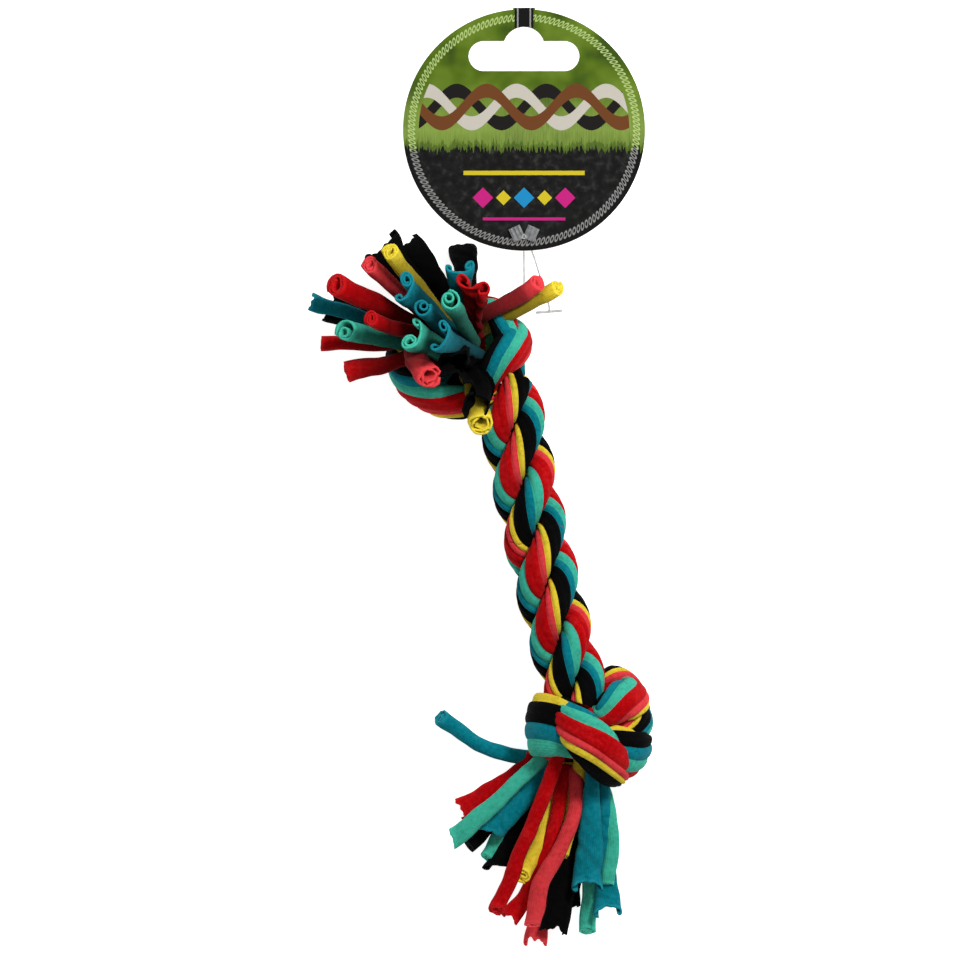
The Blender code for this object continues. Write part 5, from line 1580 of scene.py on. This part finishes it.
@dataclass
class TagPins:
    """The two tagging pins: a ribbed paddle, a filament through the hole and a cross bar in the strips."""

    card: HangCard
    paddle_width: float = 3.5 * MM
    paddle_length: float = 4.1 * MM
    paddle_thickness: float = 0.7 * MM
    filament_radius: float = 0.25 * MM
    filament_rings: int = 90
    bar_radius: float = 0.4 * MM
    bar_length: float = 7.8 * MM
    bar_rings: int = 40
    rib_width: float = 0.5 * MM
    rib_rise: float = 0.3 * MM
    rib_overlap: float = 0.1 * MM
    foot: float = 0.5 * MM
    edge: float = 0.35 * MM
    bevel: float = 0.11 * MM
    lean_deg: float = 24.0
    spread: float = 0.15 * MM
    height: float = 2.9 * MM
    pierce_run: float = 1.2 * MM
    approach_run: float = 1.6 * MM
    left_bar_drop: float = 0.6 * MM
    left_leave_px: tuple[float, float] = (523.8, 252.0)
    right_leave_px: tuple[float, float] = (532.1, 252.0)
    left_strip_px: float = 523.5
    right_strip_px: float = 545.0
    right_bar_px: tuple[float, float] = (548.7, 312.4)
    bar_slope: float = 0.078
    dense: int = 24
    sides: int = 16
    round_end: float = 0.08

    @staticmethod
    def nylon() -> bpy.types.Material:
        """Builds the translucent nylon of the pins."""
        paint = Nodes("pin_nylon")
        cloud = paint.noise(paint.here(), 700.0, 3.0)
        colour = paint.ramp(cloud, [(0.35, (0.26, 0.27, 0.28)), (0.65, (0.48, 0.50, 0.51))])
        values = {"Roughness": 0.30, "Transmission Weight": 0.2, "Alpha": 0.62, "IOR": 1.53}
        return paint.finish(colour, values, cloud, 0.03 * MM, 0.4)

    def rod(self, name: str, points: Sequence[Point], radius: float, count: int) -> bpy.types.Object:
        """Makes a round rod with rounded ends on a smooth curve.

        Args:
            name: Its name.
            points: Points of its middle line.
            radius: Its radius.
            count: Rings along it.

        Returns:
            The new object.
        """
        route = smooth_curve(points, count)
        normals = carried_normals(route, (1.0, 0.2, 0.1))
        sides = np.cross(tangents(route), normals)
        angle = np.arange(self.sides) * FULL_TURN / self.sides
        along = lengths_along(route)
        end = np.clip(np.minimum(along, along[-1] - along) / radius, self.round_end, 1.0)
        reach = radius * np.sqrt(np.clip(1 - (1 - end) ** 2, 0.0, 1.0))
        spokes = sides[:, None, :] * np.cos(angle)[None, :, None]
        spokes = spokes + normals[:, None, :] * np.sin(angle)[None, :, None]
        rings = route[:, None, :] + spokes * reach[:, None, None]
        return skin(name, rings, np.append(angle, FULL_TURN) * radius, along, [0] * self.sides,
                    [list(range(self.sides))], [])

    def paddle(self, name: str, hub: Vector, lean_deg: float) -> bpy.types.Object:
        """Makes a paddle with three ribs and softened edges.

        Args:
            name: Its name.
            hub: The place of its foot on the card.
            lean_deg: How far it leans to one side.

        Returns:
            The new object, placed.
        """
        inward = math.copysign(self.paddle_width / 2 - self.edge, -lean_deg)
        up = self.paddle_length / 2 - self.foot
        blade = block(name, (self.paddle_width, self.paddle_length, self.paddle_thickness), (inward, up, 0.0))
        rib = (self.rib_width, self.paddle_length - self.rib_width, self.rib_rise + self.rib_overlap)
        level = (self.paddle_thickness + self.rib_rise - self.rib_overlap) / 2
        ribs = [block("rib", rib, (inward + side * self.paddle_width / 3, up, level)) for side in (-1, 0, 1)]
        combine(blade, ribs, "UNION")
        change(blade, "BEVEL", width=self.bevel, segments=3, limit_method="ANGLE",
               angle_limit=math.radians(40))
        lean = Matrix.Rotation(math.radians(lean_deg), 4, "Z")
        lay(blade, self.card.matrix() @ Matrix.Translation(hub) @ lean)
        return blade

    def crossing(self, route: Line, pixel_x: float) -> tuple[Vector, Vector]:
        """Finds where a strip crosses a column of the picture, and its direction there."""
        dense = evenly(route, self.dense)
        nearest = int(np.argmin(np.abs(dense[:, 0] - place((pixel_x, 0.0), 0.0).x)))
        return Vector(dense[nearest]), Vector(tangents(dense)[nearest])

    def build(self, left: Line, right: Line) -> None:
        """Makes both pins.

        Args:
            left: Coarse route of the strip that the left pin pierces, with its width and thickness.
            right: The same for the right pin.
        """
        nylon = self.nylon()
        matrix = self.card.matrix()
        for name, side, strip, leave_px, strip_px in (
            ("tag_pin_left", -1, left, self.left_leave_px, self.left_strip_px),
            ("tag_pin_right", 1, right, self.right_leave_px, self.right_strip_px),
        ):
            wide, thick = float(strip[-1, 3]), float(strip[-1, 4])
            middle, heading = self.crossing(strip[:, :3], strip_px)
            leave = place(leave_px, self.height)
            through = Vector((middle.x - leave.x, middle.y - leave.y, 0.0)).normalized()
            enter = middle - through * (wide / 2 + self.pierce_run)
            if side < 0:
                beyond = middle + through * self.pierce_run - Vector((0, 0, thick / 2 + self.pierce_run))
                bar_way = heading.normalized()
                bar_middle = beyond - Vector((0, 0, self.left_bar_drop))
            else:
                beyond = middle + through * (wide / 2 + self.pierce_run)
                bar_way = Vector((1.0, self.bar_slope, 0.0)).normalized()
                bar_middle = place(self.right_bar_px, beyond.z)
            hub = Vector((side * self.spread, -self.card.hole_drop,
                          self.card.front + GAP + self.paddle_thickness / 2))
            below = Vector((hub.x, hub.y, -GAP - self.filament_radius))
            approach = enter - (through + Vector((0, 0, 1))) * self.approach_run
            ways = [matrix @ hub, matrix @ below, leave, approach, enter, middle, beyond, bar_middle]
            half = bar_way * self.bar_length / 2
            piece = self.rod(name, ways, self.filament_radius, self.filament_rings)
            bar = [bar_middle - half, bar_middle, bar_middle + half]
            select([piece, self.rod("bar", bar, self.bar_radius, self.bar_rings),
                    self.paddle("paddle", hub, -side * self.lean_deg)])
            bpy.ops.object.join()
            piece.data.materials.clear()
            piece.data.materials.append(nylon)
            bpy.ops.object.shade_smooth_by_angle(angle=math.radians(35))
            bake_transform(piece)
            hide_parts(name)
            LOG.info("%s: filament %.1f mm", name, lengths_along(np.array([tuple(w) for w in ways]))[-1] / MM)


@dataclass(frozen=True)
class Studio:
    """White floor, soft light and the camera straight above."""

    middle_px: tuple[float, float] = (480.0, 480.0)
    distance: float = 4.0
    far: float = 20.0
    sensor_mm: float = 36.0
    floor_size: float = 3.0
    floor_drop: float = 0.2 * MM
    world: float = 0.06
    glow: float = 0.85
    lamps: tuple[tuple[str, Point, float, float], ...] = (
        ("key", (0.50, 0.62, 1.10), 14.5, 0.30), ("fill", (-0.85, -0.35, 1.0), 0.8, 0.9),
        ("top", (0.0, 0.0, 1.6), 11.0, 3.0),
    )

    def floor(self) -> None:
        """Lays a large white floor."""
        bpy.ops.mesh.primitive_plane_add(size=self.floor_size, location=(0.0, 0.0, -self.floor_drop))
        floor = bpy.context.object
        floor.name = "floor"
        paint = Nodes("white_floor")
        grain = paint.noise(paint.here(), 300.0, 2.0)
        colour = paint.ramp(grain, [(0.0, (0.79, 0.79, 0.79)), (1.0, (0.82, 0.82, 0.82))])
        floor.data.materials.append(paint.finish(colour, {
            "Roughness": 0.9, "Specular IOR Level": 0.0, "Emission Color": (1.0, 1.0, 1.0, 1.0),
            "Emission Strength": self.glow,
        }))

    def lights(self) -> None:
        """Sets a near-white world and three large soft lamps."""
        world = bpy.data.worlds.new("studio")
        world.use_nodes = True
        back = world.node_tree.nodes["Background"]
        back.inputs["Color"].default_value = (1.0, 1.0, 1.0, 1.0)
        back.inputs["Strength"].default_value = self.world
        bpy.context.scene.world = world
        for name, at, power, size in self.lamps:
            data = bpy.data.lights.new(name, "AREA")
            data.energy = power
            data.size = size
            lamp = bpy.data.objects.new(name, data)
            lamp.location = at
            lamp.rotation_euler = (-Vector(at)).to_track_quat("-Z", "Y").to_euler()
            bpy.context.scene.collection.objects.link(lamp)

    def camera(self) -> None:
        """Hangs the camera straight above the toy."""
        data = bpy.data.cameras.new("camera")
        data.sensor_width = self.sensor_mm
        data.lens = self.sensor_mm * self.distance / (PICTURE_PX * PIXEL)
        data.clip_end = self.far
        camera = bpy.data.objects.new("camera", data)
        camera.location = place(self.middle_px, self.distance)
        bpy.context.scene.collection.objects.link(camera)
        bpy.context.scene.camera = camera
        bpy.context.scene.view_settings.view_transform = "Standard"


@dataclass
class TugToy:
    """The whole toy; heights of knots and hubs are in shares of the knot's radius."""

    rope: Rope = field(default_factory=Rope)
    card: HangCard = field(default_factory=HangCard)
    upper_px: tuple[float, float] = (457.0, 360.0)
    lower_px: tuple[float, float] = (587.5, 726.4)
    lower_from_rope_px: tuple[float, float] = (7.5, -19.4)
    upper_hub_px: tuple[float, float] = (462.0, 342.0)
    lower_hub_px: tuple[float, float] = (573.0, 760.0)
    upper_shares: tuple[float, float] = (0.8276, 1.523)
    lower_shares: tuple[float, float] = (0.8563, 0.6322)
    upper_axis: Point = (-0.22, 0.20, 0.95)
    lower_axis: Point = (-0.20, -0.97, -0.10)
    # Share of painted shade towards the heart of the upper fringe.
    painted_heart_shade: float = 0.80

    def build(self) -> None:
        """Makes every piece."""
        wardrobe = Wardrobe.stock()
        self.rope.build(wardrobe)
        end = self.rope.middle(self.rope.coarse)[-1]
        lower_middle = end + np.array((*self.lower_from_rope_px, 0.0)) * PIXEL
        lower_middle[2] = KNOT_RADIUS * self.lower_shares[0]

        def lower_place(pixel: Point, height: float) -> Vector:
            """Returns a point of the lower end, which moves with the rope's end."""
            across = (pixel[0] - self.lower_px[0]) * PIXEL
            down = (self.lower_px[1] - pixel[1]) * PIXEL
            return Vector((lower_middle[0] + across, lower_middle[1] + down, height))

        upper_middle = np.array(place(self.upper_px, KNOT_RADIUS * self.upper_shares[0]))
        upper_hub = np.array(place(self.upper_hub_px, KNOT_RADIUS * self.upper_shares[1]))
        lower_hub = np.array(lower_place(self.lower_hub_px, KNOT_RADIUS * self.lower_shares[1]))
        upper_axis, lower_axis = (
            np.array(Vector(way).normalized()) for way in (self.upper_axis, self.lower_axis))
        knots = (Knot("upper", upper_middle, UPPER_BANDS), Knot("lower", lower_middle, LOWER_BANDS))
        for knot in knots:
            knot.build(wardrobe)
        upper_solids, lower_solids = (knot.solids() + self.rope.solids() for knot in knots)
        upper = Fringe("upper", UPPER_STRIPS, upper_hub, upper_axis, place, self.card.ceiling)
        lower = Fringe("lower", LOWER_STRIPS, lower_hub, lower_axis, lower_place,
                       lambda balls: np.ones(len(balls)))
        # The upper fringe's strips get the painted shade towards their heart.
        courses = upper.build(upper_solids, Wardrobe.stock(self.painted_heart_shade))
        lower.build(lower_solids, wardrobe)
        self.card.build()
        names = [strip.name for strip in UPPER_STRIPS]
        TagPins(self.card).build(*(courses[names.index(name)] for name in ("coral_2", "yellow_2")))


def main() -> None:
    """Builds the scene."""
    logging.basicConfig(level=logging.INFO, format="%(name)s: %(message)s")
    studio = Studio()
    studio.camera()
    studio.floor()
    studio.lights()
    TugToy().build()


if __name__ == "__main__":
    main()
